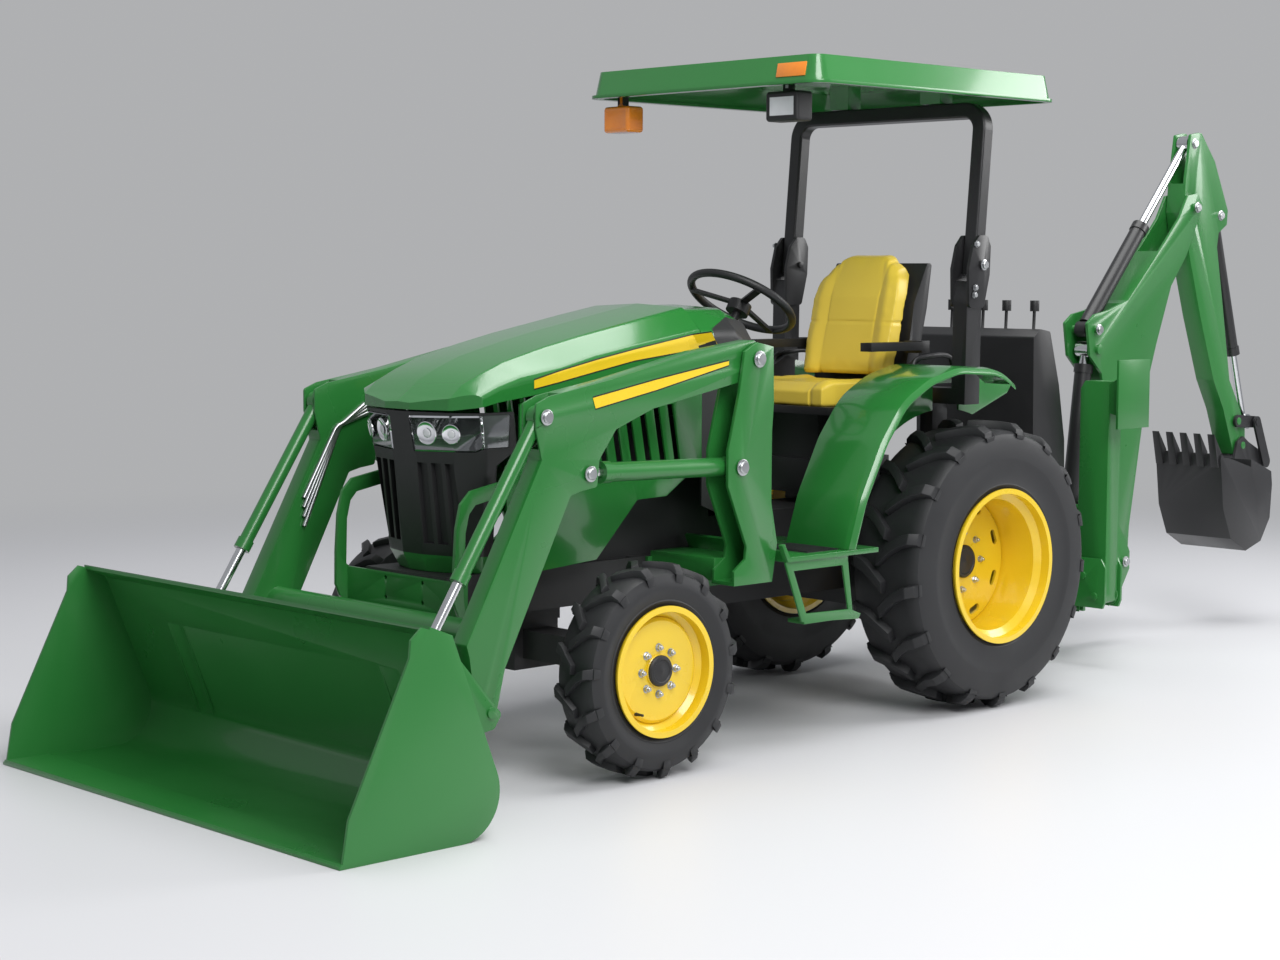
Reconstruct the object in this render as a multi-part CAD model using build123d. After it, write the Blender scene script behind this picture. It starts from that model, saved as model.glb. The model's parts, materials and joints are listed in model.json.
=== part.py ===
"""Compact tractor with a front loader, a rear backhoe, a folding roll-over frame and a canopy.

Millimetres. +X is forward, +Y is the machine's left, +Z is up, and the ground is at Z = 0.
Side-view points are (x, z) with x measured forward from the rear axle. The finished pieces
are then moved so that the middle of the machine's length stands over the origin.
"""
import os
from math import atan2, cos, degrees, hypot, pi, radians, sin

from build123d import *

# ---------------------------------------------------------------- driving dimensions
wheelbase = 1650
fit_gap = 0.3             # between a turning piece and its seat
side_gap = 5.0            # between a moving arm and the plates beside it

front_tyre_radius = 325
front_tyre_width = 175
front_tyre_y = 577.5
front_rim_radius = 197
front_hub_radius = 49
front_disc_y = 46         # disc's face, outward from the middle of the tyre
rear_tyre_radius = 500
rear_tyre_width = 310
rear_tyre_y = 480
rear_rim_radius = 268
rear_hub_radius = 60
rear_disc_y = -40
hand_holes = 8
hand_hole_ring = 190
rim_wall = 6
spindle_radius = 26
kingpin_y = 430
kingpin_radius = 22

# loader, side view
arm_y = 535
arm_width = 64
plate_wall = 12
mast_pin = (1190, 1238)
lift_base_pin = (1262, 907)
lift_eye_pin = (1876, 920)
tilt_base_pin = (2045, 1091)
bucket_pin = (2262, 270)
tilt_eye_pin = (2460, 455)
loader_pin_radius = 16
torque_tube_at = (2225, 470)
torque_tube_radius = 45
bucket_half_width = 865
bucket_lip_x = 2990
bucket_wall = 9

# backhoe, side view
swing_axis_x = -1270
boom_foot_pin = (-1495, 343)
boom_ear_pin = (-1298, 1285)
boom_tip_pin = (-1970, 1781)
boom_base_pin = (-1225, 575)
boom_eye_pin = (-1310, 1205)
dipper_ear_pin = (-1984, 2046)
digger_base_pin = (-2192, 1753)
rocker_pin = (-2346, 878)
digger_pin = (-2383, 772)
link_pin = (-2470, 870)
digger_eye_pin = (-2549, 695)
boom_width = 120
boom_ear = 12
dipper_ear = 13
digger_width = 320
digger_pin_radius = 16

# stabilisers: leg pivot and cylinder pins in the (y, z) plane
stab_x = -980
stab_width = 80
stab_pin = (345, 280)
stab_base_pin = (290, 357)
stab_eye_pin = (300, 900)
stab_top_z = 1100

# roll-over frame and canopy
rops_y = 430
rops_section = 60
rops_fold_pin = (-45, 1534)
rops_pin_radius = 12
rops_top_z = 2070
hoop_bend = 70
canopy_front_x = 886
canopy_rear_x = -364
canopy_half_width = 539
canopy_low_z = 2104
canopy_rise = 92

guard_plate_z = 545
guard_holes_y = 180
guard_holes_z = 60
guard_hole_radius = 7

hood_hinge = (1143, 1385)
hinge_pin_radius = 5
wheel_hub_at = (676, 1388)
column_rake = 32          # steering column, degrees back from upright

rear_reach_x = -2585
middle_x = (bucket_lip_x + rear_reach_x) / 2

os.makedirs("parts", exist_ok=True)


# ---------------------------------------------------------------- helpers
def outline(points, radius=0):
    if radius:
        return make_face(FilletPolyline(*points, radius=radius, close=True))
    return make_face(Polyline(*points, close=True))


def beside(points, distance):
    """Open line moved sideways, to the left of its direction, with its corners kept."""
    moved = []
    for i, point in enumerate(points):
        before = points[max(i - 1, 0)]
        after = points[min(i + 1, len(points) - 1)]
        turns = []
        for a, b in ((before, point), (point, after)):
            length = hypot(b[0] - a[0], b[1] - a[1])
            if length:
                turns.append((-(b[1] - a[1]) / length, (b[0] - a[0]) / length))
        nx = sum(t[0] for t in turns) / len(turns)
        nz = sum(t[1] for t in turns) / len(turns)
        share = distance / (nx * nx + nz * nz)
        moved.append((point[0] + nx * share, point[1] + nz * share))
    return moved


def bent_sheet(points, wall, bend):
    """Face of a sheet that follows an open line with rounded left turns, on the line's left."""
    outer = FilletPolyline(*points, radius=bend)
    inner = FilletPolyline(*beside(points, wall), radius=bend - wall)
    return make_face([*outer.edges(), *inner.edges(), Line(outer @ 0, inner @ 0),
                      Line(outer @ 1, inner @ 1)])


def side_plane(y):
    return Plane(origin=(0, y, 0), x_dir=(1, 0, 0), z_dir=(0, -1, 0))


def cross_plane(x):
    return Plane(origin=(x, 0, 0), x_dir=(0, 1, 0), z_dir=(1, 0, 0))


def side_plate(points, y, wall, radius=0):
    """Side-view outline, its thickness centred on y."""
    return extrude(side_plane(y) * outline(points, radius), wall / 2, both=True)


def cross_plate(points, x, wall, radius=0):
    """Front-view outline of (y, z) points, its thickness centred on x."""
    return extrude(cross_plane(x) * outline(points, radius), wall / 2, both=True)


def across(at, y0, y1, radius):
    """Cylinder along Y between y0 and y1."""
    face = side_plane((y0 + y1) / 2) * (Pos(at[0], at[1]) * Circle(radius))
    return extrude(face, abs(y1 - y0) / 2, both=True)


def lengthwise(at, x0, x1, radius):
    """Cylinder along X between x0 and x1, at a (y, z) point."""
    face = cross_plane((x0 + x1) / 2) * (Pos(at[0], at[1]) * Circle(radius))
    return extrude(face, abs(x1 - x0) / 2, both=True)


def block(x0, x1, y0, y1, z0, z1):
    size = (abs(x1 - x0), abs(y1 - y0), abs(z1 - z0))
    return Pos((x0 + x1) / 2, (y0 + y1) / 2, (z0 + z1) / 2) * Box(*size)


def tube_path(points, radius, bend):
    """Round bar along straight runs joined by arcs."""
    path = FilletPolyline(*points, radius=bend)
    start = Plane(origin=path @ 0, z_dir=path % 0)
    return sweep(start * Circle(radius), path=path)


def other_side(shape):
    return mirror(shape, about=Plane.XZ)


def pair(shape):
    """The same piece on both sides, as two solids that don't touch."""
    return Compound([*shape.solids(), *other_side(shape).solids()])


def step_along(start, end, distance):
    length = hypot(end[0] - start[0], end[1] - start[1])
    share = distance / length
    return (start[0] + (end[0] - start[0]) * share, start[1] + (end[1] - start[1]) * share)


def bar_between(start, end, radius):
    """Round bar in the plane y = 0, between two side-view points."""
    a = Vector(start[0], 0, start[1])
    b = Vector(end[0], 0, end[1])
    plane = Plane(origin=a, z_dir=b - a)
    return extrude(plane * Circle(radius), (b - a).length)


def hydraulic(base, eye, tube_radius, rod_radius, eye_width, pin_radius, tube_length, room):
    """Barrel with its base eye, and rod with its eye, in the plane y = 0.

    room is how far the rod can still go in from where it rests.
    """
    eye_radius = pin_radius * 2
    gland = step_along(base, eye, tube_length)
    foot = step_along(base, eye, eye_radius * 0.8)
    barrel = across(base, -eye_width / 2, eye_width / 2, eye_radius)
    barrel += bar_between(foot, gland, tube_radius)
    barrel += bar_between(step_along(gland, base, 34), gland, tube_radius + 4)
    inside = step_along(base, eye, eye_radius * 0.8 + 30)
    barrel -= bar_between(inside, step_along(base, eye, tube_length + 5), rod_radius + fit_gap)
    barrel -= across(base, -eye_width, eye_width, pin_radius + fit_gap)
    rod_start = step_along(base, eye, eye_radius * 0.8 + 34 + room)
    rod_end = step_along(eye, base, eye_radius * 0.8)
    rod = bar_between(rod_start, rod_end, rod_radius)
    rod += across(eye, -eye_width / 2, eye_width / 2, eye_radius)
    rod -= across(eye, -eye_width, eye_width, pin_radius + side_gap)
    return barrel, rod


nodes = {}


# ---------------------------------------------------------------- wheels
def rim_section(radius, width, disc_y, hub_radius, stub):
    """Rim, dished disc and hub, as a solid turned about Y with +Y outward."""
    half = width / 2 - 6
    seat = radius - 12
    well = radius - 34
    rim = Polyline(
        (radius, -half), (radius, -half + rim_wall), (seat, -half + rim_wall + 4),
        (seat, -half + 34), (well, -half + 50), (well, half - 50), (seat, half - 34),
        (seat, half - rim_wall - 4), (radius, half - rim_wall), (radius, half),
        (seat - rim_wall, half), (seat - rim_wall, half - 34), (well - rim_wall, half - 52),
        (well - rim_wall, -half + 52), (seat - rim_wall, -half + 34), (seat - rim_wall, -half),
        close=True)
    flat = well - 14
    disc = Polyline(
        (0, disc_y + 8), (hub_radius - 4, disc_y + 8), (hub_radius, disc_y + 4),
        (hub_radius, disc_y), (flat, disc_y), (well - 5, disc_y - 7), (well - 2, disc_y - 20),
        (well - 2, disc_y - 30), (well - 11, disc_y - 22), (flat - 4, disc_y - 10),
        (hub_radius + 20, disc_y - 10), (hub_radius + 20, disc_y - 34), (0, disc_y - 34), close=True)
    solid = revolve(make_face(rim), Axis.Y) + revolve(make_face(disc), Axis.Y)
    if stub > 0:
        shaft = Polyline((0, disc_y - 30), (spindle_radius, disc_y - 30),
                         (spindle_radius, disc_y - stub), (0, disc_y - stub), close=True)
        solid += revolve(make_face(shaft), Axis.Y)
    return solid


def flat_ring(section, sides):
    """Section of (radius, y) points carried round a regular polygon about Y."""
    reach = section[0][0]
    turn = 2 * pi / sides
    corners = [(reach, 0, 0)]
    for i in range(sides):
        angle = turn * (i + 0.5)
        corners.append((reach / cos(turn / 2) * cos(angle), 0, reach / cos(turn / 2) * sin(angle)))
    start = Plane(origin=(reach, 0, 0), x_dir=(1, 0, 0), z_dir=(0, 0, 1))
    face = start * make_face(Polyline(*[(r - reach, y) for r, y in section], close=True))
    return sweep(face, path=Polyline(*corners, close=True), transition=Transition.RIGHT)


def tyre_bar(radius, width, lug_height, slant, bar):
    """One bar of the tread, from just past the middle out over the shoulder on the +Y side."""
    half = width / 2
    lean = radians(slant)
    reach = (half - 7) / cos(lean) / 2
    top = -0.75 * (reach * sin(lean) + bar / 2) ** 2 / (2 * radius)
    root = -lug_height - 14
    profile = [(-reach, root), (-reach + 6, top), (reach - half * 0.3, top), (reach - 3, top - half * 0.2),
               (reach - half * 0.1, root - 26), (reach - half * 0.35, root)]
    plane = Plane(origin=(radius, (half - 17) / 2, 0), x_dir=(0, cos(lean), sin(lean)),
                  z_dir=(0, sin(lean), -cos(lean)))
    return extrude(plane * outline(profile), bar / 2, both=True)


def tyre(radius, width, rim_radius, lug_height, sides, lugs, slant, bar):
    half = width / 2
    tread = radius - lug_height
    right = [(rim_radius - 12 + fit_gap, half - 18), (rim_radius + 4, half - 16),
             ((tread + rim_radius) / 2 + 8, half - 3), (tread - 20, half - 14), (tread, half - 50)]
    left_bar = tyre_bar(radius, width, lug_height, slant, bar)
    right_bar = mirror(left_bar, about=Plane.XZ)
    bars = []
    for i in range(lugs):
        bars.append(Rot(0, i * 360 / lugs, 0) * left_bar)
        bars.append(Rot(0, (i + 0.5) * 360 / lugs, 0) * right_bar)
    return flat_ring(right + [(r, -y) for r, y in right[::-1]], sides).fuse(*bars)


# columns: end, x, z, y of the tyre's middle
wheel_places = [
    ("front", wheelbase, front_tyre_radius, front_tyre_y),
    ("rear", 0, rear_tyre_radius, rear_tyre_y),
]
front_rim = rim_section(front_rim_radius, front_tyre_width, front_disc_y, front_hub_radius, 0)
front_rim -= Pos(0, front_disc_y - 20, 0) * Rot(90, 0, 0) * Cylinder(spindle_radius + fit_gap, 40)
rear_rim = rim_section(rear_rim_radius, rear_tyre_width, rear_disc_y, rear_hub_radius, 90)
hand_hole = extrude(side_plane(0) * (Pos(hand_hole_ring, 0) * SlotOverall(56, 24, rotation=90)), 200,
                    both=True)
for i in range(hand_holes):
    rear_rim -= Rot(0, (i + 0.5) * 360 / hand_holes, 0) * hand_hole
wheels = {
    "front": (front_rim, tyre(front_tyre_radius, front_tyre_width, front_rim_radius, 22, 24, 12, 24, 36)),
    "rear": (rear_rim, tyre(rear_tyre_radius, rear_tyre_width, rear_rim_radius, 32, 28, 15, 26, 48)),
}
for end, x, z, y in wheel_places:
    for part_name, solid in zip(("rim", "tyre"), wheels[end]):
        left_wheel = Pos(x, y, z) * solid
        nodes[f"{part_name}_{end}_left"] = left_wheel
        nodes[f"{part_name}_{end}_right"] = other_side(left_wheel)

# ---------------------------------------------------------------- front axle and knuckles
axle_z = front_tyre_radius
beam = block(wheelbase - 55, wheelbase + 55, -350, 350, axle_z - 25, axle_z + 65)
for side in (-1, 1):
    for z0, z1 in ((axle_z - 75, axle_z - 45), (axle_z + 50, axle_z + 80)):
        yoke_face = Plane.XY.offset(z0) * (Pos(wheelbase, side * kingpin_y) * Circle(44))
        beam += extrude(yoke_face, z1 - z0)
        beam += block(wheelbase - 44, wheelbase + 44, side * 340, side * kingpin_y, z0, z1)
    beam += block(wheelbase - 50, wheelbase + 50, side * 330, side * 368, axle_z - 75, axle_z + 80)
beam += block(wheelbase - 90, wheelbase + 90, -70, 70, axle_z - 60, axle_z + 90)
for side in (-1, 1):
    hole = Plane.XY.offset(axle_z - 90) * (Pos(wheelbase, side * kingpin_y)
                                           * Circle(kingpin_radius + fit_gap))
    beam -= extrude(hole, 200)
nodes["front_axle"] = beam

knuckle = extrude(Plane.XY.offset(axle_z - 76) * (Pos(wheelbase, kingpin_y) * Circle(kingpin_radius)),
                  158)
knuckle += extrude(Plane.XY.offset(axle_z - 39) * (Pos(wheelbase, kingpin_y) * Circle(42)), 83)
knuckle += across((wheelbase, axle_z), kingpin_y, kingpin_y + 54, 40)
knuckle += across((wheelbase, axle_z), kingpin_y + 52, front_tyre_y + front_disc_y - 36, 55)
knuckle += across((wheelbase, axle_z), kingpin_y, front_tyre_y + front_disc_y - 3, spindle_radius)
knuckle += block(wheelbase - 150, wheelbase, kingpin_y + 2, kingpin_y + 30, axle_z - 15, axle_z + 15)
nodes["knuckle_left"] = knuckle
nodes["knuckle_right"] = other_side(knuckle)

# ---------------------------------------------------------------- frame, engine, transaxle
rail_y = 190
rail_low = axle_z + 145
frame_rails = side_plate([(640, rail_low), (1900, rail_low), (1990, 430), (2110, 430), (2110, 600),
                          (640, 600)], rail_y, 14)
frame_rails += other_side(frame_rails)
frame_rails += block(1960, 2110, -rail_y, rail_y, 430, 600)
frame_rails += block(wheelbase - 110, wheelbase + 110, -rail_y, rail_y, rail_low, 520)
frame_rails += block(wheelbase - 90, wheelbase + 90, -80, 80, axle_z + 90, rail_low)
for side in (-1, 1):
    frame_rails += block(700, 900, side * 135, side * rail_y, 490, 570)
    frame_rails += block(1250, 1350, side * 160, side * rail_y, 560, 600)
nodes["frame_rails"] = frame_rails

engine_front = wheelbase - 110
engine_block = block(980, engine_front, -160, 160, 560, 1040)
engine_block += block(1040, engine_front - 60, -110, 110, 500, 560)
engine_block += block(1010, engine_front - 40, -110, 110, 1040, 1110)
nodes["engine_block"] = engine_block

axle_rear_z = rear_tyre_radius
axle_tube_radius = 78
axle_top_z = axle_rear_z + axle_tube_radius
post_low_z = 2 * rear_tyre_radius + 50
transaxle = block(250, 980, -135, 135, 400, 700)
transaxle += block(-190, 250, -175, 175, 340, 740)
transaxle += across((0, axle_rear_z), -400, 400, axle_tube_radius)
for side in (-1, 1):
    transaxle += across((0, axle_rear_z), side * 380, side * 398, 105)
    transaxle -= across((0, axle_rear_z), side * 330, side * 420, spindle_radius + fit_gap)
transaxle += lengthwise((0, 420), -225, -190, 45)
nodes["transaxle"] = transaxle

# ---------------------------------------------------------------- nose, hood, cowl
nose_x = 2140
lamp_z = (968, 1080)


def nose_outline(z, front, half, depth):
    """Plan of the bowed nose at height z."""
    right = [(front - depth, half), (front - 92, half), (front - 34, half * 0.71), (front, half * 0.21)]
    points = right + [(x, -y) for x, y in right[::-1]]
    return Plane.XY.offset(z) * outline(points, 20)


def nose_form(inset, back=0):
    """The grille's bowed body, drawn in all round by inset."""
    return loft([nose_outline(z, front - inset, half - inset, depth + back)
                 for z, front, half, depth in nose_table], ruled=True)


# columns: z, front x, half width, depth from front to back
nose_table = [
    (602, nose_x - 78, 196, 140),
    (655, nose_x - 57, 222, 140),
    (930, nose_x - 32, 268, 145),
    (975, nose_x - 24, 275, 225),
    (1088, nose_x - 5, 282, 225),
]
grille = nose_form(0) - nose_form(26, 60)
grille_face = nose_form(-1) - nose_form(14, 60)
rib_slots = []
for y0, y1 in ((56, 92), (106, 142), (156, 188)):
    for side in (-1, 1):
        rib_slots.append(block(1980, 2200, side * y0, side * y1, 690, 935))
grille = grille.cut(*[grille_face & slot for slot in rib_slots])
lamp_face = cross_plate([(50, lamp_z[0]), (46, lamp_z[1] - 4), (300, lamp_z[1] + 2), (300, lamp_z[0] + 30),
                         (250, lamp_z[0] + 4)], 2050, 400)
lamp_seat = cross_plate([(50 - fit_gap, lamp_z[0] - fit_gap), (46 - fit_gap, lamp_z[1] - 4 + fit_gap),
                         (310, lamp_z[1] + 2 + fit_gap), (310, lamp_z[0] + 30), (250,
                                                                                 lamp_z[0] + 4 - fit_gap)],
                        2050, 400)
lamp_seat -= block(1800, 1935 - fit_gap, 200, 320, 900, 1100)
lamp_face -= block(1800, 1935, 200, 320, 900, 1100)
lamp_skin = nose_form(-1, 10) - nose_form(18, 60)
for side_seat in (lamp_seat, other_side(lamp_seat)):
    grille -= lamp_skin & side_seat
for side in (-1, 1):
    grille += block(1990, 2040, side * 60, side * 100, 600, 640)
nodes["grille"] = grille
lamp_body = nose_form(1) - nose_form(17.7, 60)
nodes["headlamps"] = pair(lamp_body & lamp_face)


def hood_section(x, half, low, shoulder, top, radius):
    points = [(-half, low), (-half, shoulder), (-half * 0.72, top - 10), (0, top), (half * 0.72, top - 10),
              (half, shoulder), (half, low)]
    crown = FilletPolyline(*points, radius=radius)
    return cross_plane(x) * make_face([*crown.edges(), Line(crown @ 1, crown @ 0)])


# columns: x, half width, low edge z, shoulder z, top z, radius of the shoulders
hood_table = [
    (nose_x, 284, 1094, 1103, 1116, 8),
    (nose_x - 22, 285, 1095, 1112, 1133, 10),
    (nose_x - 42, 286, 1096, 1118, 1146, 14),
    (nose_x - 80, 288, 1104, 1136, 1178, 22),
    (1980, 290, 1120, 1168, 1215, 26),
    (1900, 291, 1130, 1190, 1246, 30),
    (1740, 294, 1150, 1212, 1287, 36),
    (1600, 296, 1167, 1245, 1318, 40),
    (1450, 297, 1185, 1270, 1347, 44),
    (1300, 299, 1204, 1292, 1376, 48),
    (1155, 300, 1222, 1312, 1402, 50),
]
hood_wall = 6
hood_form = loft([hood_section(*row) for row in hood_table], ruled=True)
hood_hollow = loft([hood_section(x, half - hood_wall, low - 30, shoulder - hood_wall, top - hood_wall,
                                 radius - 3)
                    for x, half, low, shoulder, top, radius in hood_table], ruled=True)
hood_plan = [(nose_x - 1, 60), (nose_x - 34, 205), (nose_x - 92, 289), (nose_x - 180, 304), (1100, 360)]
hood_plan = hood_plan[::-1] + [(x, -y) for x, y in hood_plan]
hood_nose = extrude(Plane.XY.offset(1000) * outline(hood_plan, 30), 500)
hood = (hood_form & hood_nose) - (Pos(-hood_wall, 0, 0) * (hood_hollow & hood_nose))
for side in (-1, 1):
    hood += across(hood_hinge, side * 105, side * 117, 9)
    hood += side_plate([(1143, 1377), (1143, 1393), (1166, 1392), (1166, 1382)], side * 111, 12)
    hood -= across(hood_hinge, side * 100, side * 122, hinge_pin_radius + fit_gap)
nodes["hood"] = hood

panel_rear = (1149.3, 294)
panel_front = (2024.7, 266)
panel_turn = degrees(atan2(panel_front[1] - panel_rear[1], panel_front[0] - panel_rear[0]))
side_panels = side_plate([(0, 1208), (585, 1136), (742, 1112), (742, 960), (796, 925), (786, 700),
                          (665, 603),
                          (441, 621), (273, 796), (151, 800), (0, 900)], 0, 8, 10)
for i in range(6):
    louvre_x = 90 + i * 60
    slot = [(louvre_x, 900), (louvre_x + 26, 900), (louvre_x + 60, 1090), (louvre_x + 34, 1090)]
    side_panels -= side_plate(slot, 0, 20)
side_panels = Pos(panel_rear[0], panel_rear[1], 0) * Rot(0, 0, panel_turn) * side_panels
nodes["side_panels"] = pair(side_panels)

# columns: x, half width, low z, shoulder z, top z, radius of the shoulders
cowl_table = [(1149, 298, 760, 1310, 1396, 46), (985, 290, 700, 1310, 1398, 46),
              (862, 270, 700, 1240, 1354, 46)]
cowl_wall = 8
cowl_cap_z = 1222
cowl_shell = loft([hood_section(*row) for row in cowl_table], ruled=True)
cowl_shell -= loft([hood_section(x + cowl_wall, half - cowl_wall, low - 20, shoulder - cowl_wall,
                                 top - cowl_wall, radius - 4)
                    for x, half, low, shoulder, top, radius in cowl_table], ruled=True)
cap_plan = [(1160, 320), (1096, 310), (1090, 280), (905, 205), (878, 120)]
cap_plan = cap_plan + [(x, -y) for x, y in cap_plan[::-1]]
dash_cowl = cowl_shell & extrude(Plane.XY.offset(cowl_cap_z + fit_gap) * outline(cap_plan), 300)
cap_room = Plane.XY.offset(cowl_cap_z) * offset(outline(cap_plan), fit_gap, kind=Kind.INTERSECTION)
dash_panel = cowl_shell - extrude(cap_room, 300)
rake = radians(column_rake)
column_length = 400
column_foot = (wheel_hub_at[0] + column_length * sin(rake),
               wheel_hub_at[1] - column_length * cos(rake))
dash_panel += bar_between(column_foot, step_along(wheel_hub_at, column_foot, 60), 34)
for side in (-1, 1):
    dash_cowl -= block(1127, 1160, side * 100, side * 122, 1360, 1400)
    dash_cowl += across(hood_hinge, side * 98, side * 124, hinge_pin_radius)

# ---------------------------------------------------------------- steering wheel
wheel_tilt = Plane(origin=(wheel_hub_at[0], 0, wheel_hub_at[1]), x_dir=(0, 1, 0),
                   z_dir=(-sin(rake), 0, cos(rake)))
steering_wheel = wheel_tilt.offset(20) * Torus(185, 14)
steering_wheel += extrude(wheel_tilt.offset(-24) * Circle(40), 38)
for angle in (90, 210, 330):
    spoke = Rot(0, 0, angle) * (Pos(105, 0, 0) * Box(160, 24, 10))
    steering_wheel += wheel_tilt.offset(10) * spoke
steering_wheel += extrude(wheel_tilt.offset(-90) * Circle(14), 70)
nodes["steering_wheel"] = steering_wheel
dash_panel -= extrude(wheel_tilt.offset(-92) * Circle(14 + fit_gap), 60)
nodes["dash_cowl"] = dash_cowl
nodes["dash_panel"] = dash_panel

# ---------------------------------------------------------------- platform, fenders, consoles
floor_z = 600
platform = side_plate([(655, floor_z), (1085, floor_z), (1112, 655), (1100, 660), (1076, floor_z + 16),
                       (655, floor_z + 16)], 0, 1240)
platform -= block(560, 1200, -183, 183, 560, 800)
for side in (-1, 1):
    platform += block(795, 1077, side * 604, side * 612, 575, 604)
    platform += side_plate([(797, 600), (1090, 600), (1010, 404), (740, 389), (730, 405), (770, 420)],
                           side * 608, 8)
    platform -= side_plate([(820, 570), (1050, 570), (990, 430), (790, 425)], side * 608, 30)
    platform += block(760, 1000, side * 540, side * 612, 396, 408)
for side in (-1, 1):
    platform -= block(1086, 1200, side * 470, side * 600, 590, 700)
nodes["platform"] = pair(platform.solids().sort_by(Axis.Y)[-1])

fender_wall = 6
fender_in_y = 338
fender_out_y = 620
fender_line = [(794, floor_z + 18), (740, 776), (640, 960), (534, 1091), (400, 1160), (252, 1195),
               (20, 1183),
               (-66, 1128)]
fender_bend = 250
fender_edge_y = (586, 608, 620)
fender_edge_drop = (0, 6, 20)
fender_middle = (fender_in_y + fender_edge_y[0]) / 2
fenders = extrude(side_plane(fender_middle) * bent_sheet(fender_line, fender_wall, fender_bend),
                  (fender_edge_y[0] - fender_in_y) / 2, both=True)
fenders += loft([side_plane(y) * bent_sheet(beside(fender_line, drop), fender_wall, fender_bend - drop)
                 for y, drop in zip(fender_edge_y, fender_edge_drop)], ruled=True)
fenders -= block(700, 830, fender_edge_y[0] - 1, fender_out_y + 1, 560, floor_z + 17)
plate_top = FilletPolyline(*fender_line[:-1], (-150, 1150), radius=fender_bend)
plate_rest = Polyline((-150, 1150), (-383, 1103), (-360, 1075), (-150, 1000), (400, 700),
                      (600, floor_z + 16),
                      (fender_line[0][0], floor_z + 17), fender_line[0])
fender_plate = make_face([*plate_top.edges(), *plate_rest.edges()])
fenders += extrude(side_plane(fender_in_y + 4) * fender_plate, 4, both=True)
fenders -= across((0, rear_tyre_radius), fender_in_y - 8, fender_out_y + 8, rear_tyre_radius + 30)
fenders -= block(-85, 60, rops_y - 48, rops_y + 48, post_low_z, post_low_z + 200)
fenders -= block(-85, 60, fender_in_y - 18, fender_in_y + 22, post_low_z - 60, post_low_z + 70)
nodes["fenders"] = pair(fenders)

fender_trim = side_plate([(70, 1090), (70, 1190), (112, 1204), (192, 1164), (323, 1130), (413, 979),
                          (500, 983),
                          (500, 950), (380, 950), (300, 1060)], 319, 38, 8)
nodes["fender_trim"] = pair(fender_trim)

# ---------------------------------------------------------------- seat
seat_frame = block(60, 420, -150, 150, 740, 860)
seat_frame += block(90, 390, -110, 110, 860, 1020)
seat_frame += block(30, 480, -235, 235, 1020, 1046)
seat_frame += side_plate([(30, 1020), (75, 1020), (10, 1400), (-60, 1540), (-85, 1540), (-60, 1380)],
                         0, 430, 10)
for side in (-1, 1):
    seat_frame += block(60, 330, side * 246, side * 296, 1235, 1265)
    seat_frame += block(20, 62, side * 215, side * 296, 1225, 1268)
nodes["seat_frame"] = seat_frame
nodes["seat_cushion"] = block(95, 480, -225, 225, 1046.5, 1120)
nodes["seat_back"] = side_plate([(78, 1124), (145, 1126), (75, 1420), (10, 1580), (-40, 1590), (-48, 1548),
                                 (20, 1402)], 0, 430, 12)

# ---------------------------------------------------------------- loader masts and guard
inner_plate_y = arm_y - arm_width / 2 - side_gap - plate_wall / 2
outer_plate_y = arm_y + arm_width / 2 + side_gap + plate_wall / 2
mast_outline = [(1122, 1275), (1195, 1290), (1248, 1262), (1270, 1140), (1318, 960), (1318, 850),
                (1270, 740), (1235, 660), (1240, 620), (1290, 585), (1290, 540), (1120, 540), (1098, 660),
                (1128, 800), (1135, 900), (1118, 1100)]
loader_masts = side_plate(mast_outline, inner_plate_y, plate_wall)
loader_masts += side_plate(mast_outline, outer_plate_y, plate_wall)
loader_masts += block(1120, 1132, inner_plate_y, outer_plate_y, 560, 1150)
loader_masts += block(1120, 1290, inner_plate_y, outer_plate_y, 540, 552)
for at in (mast_pin, lift_base_pin):
    loader_masts += across(at, inner_plate_y, outer_plate_y + 14, loader_pin_radius)
loader_masts += block(1130, 1285, 205, inner_plate_y, 548, 618)
loader_masts += side_plate([(960, 480), (1300, 480), (1300, 600), (960, 600)], 204, 14)
nodes["loader_masts"] = pair(loader_masts)

brush_guard = block(2110, 2118, -296, 296, 475, 592)
guard_side = [(2118, 478), (2144, 500), (2160, 538), (2159, 640), (2151, 756), (2134, 827), (2096, 864),
              (1975, 886), (1975, 842), (2080, 822), (2104, 796), (2118, 740), (2122, 600), (2110, 592),
              (2110, 478)]
for side in (-1, 1):
    brush_guard += side_plate(guard_side, side * 290, 12, 6)
for y in (-guard_holes_y / 2, guard_holes_y / 2):
    for z in (guard_plate_z - guard_holes_z / 2, guard_plate_z + guard_holes_z / 2):
        brush_guard -= lengthwise((y, z), 2100, 2140, guard_hole_radius)
        nodes["frame_rails"] -= lengthwise((y, z), 2060, 2140, guard_hole_radius)
nodes["brush_guard"] = brush_guard

# ---------------------------------------------------------------- loader arms and bucket
arm_side = [(1190, 1296), (1430, 1266), (1794, 1190), (2030, 1150), (2080, 1130), (2080, 1060),
            (2058, 968), (2335, 465), (2325, 430), (2300, 270), (2262, 228), (2225, 270), (2196, 385),
            (2113, 544), (1948, 861), (1905, 872), (1845, 880), (1836, 960), (1770, 1045), (1620, 1100),
            (1190, 1180), (1132, 1238)]
half = arm_width / 2
loader_arm = side_plate(arm_side, arm_y, arm_width, 12)
lobe = side_plate([(1700, 860), (1930, 860), (1930, 985), (1700, 985)], arm_y, arm_width - 2 * 8)
clevis = side_plate([(1985, 1185), (2140, 1185), (2140, 1000), (2050, 1000), (1985, 1040)], arm_y,
                    arm_width - 2 * 8)
loader_arm -= lobe
loader_arm -= clevis
loader_arm -= across(mast_pin, 0, 700, loader_pin_radius + fit_gap)
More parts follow.
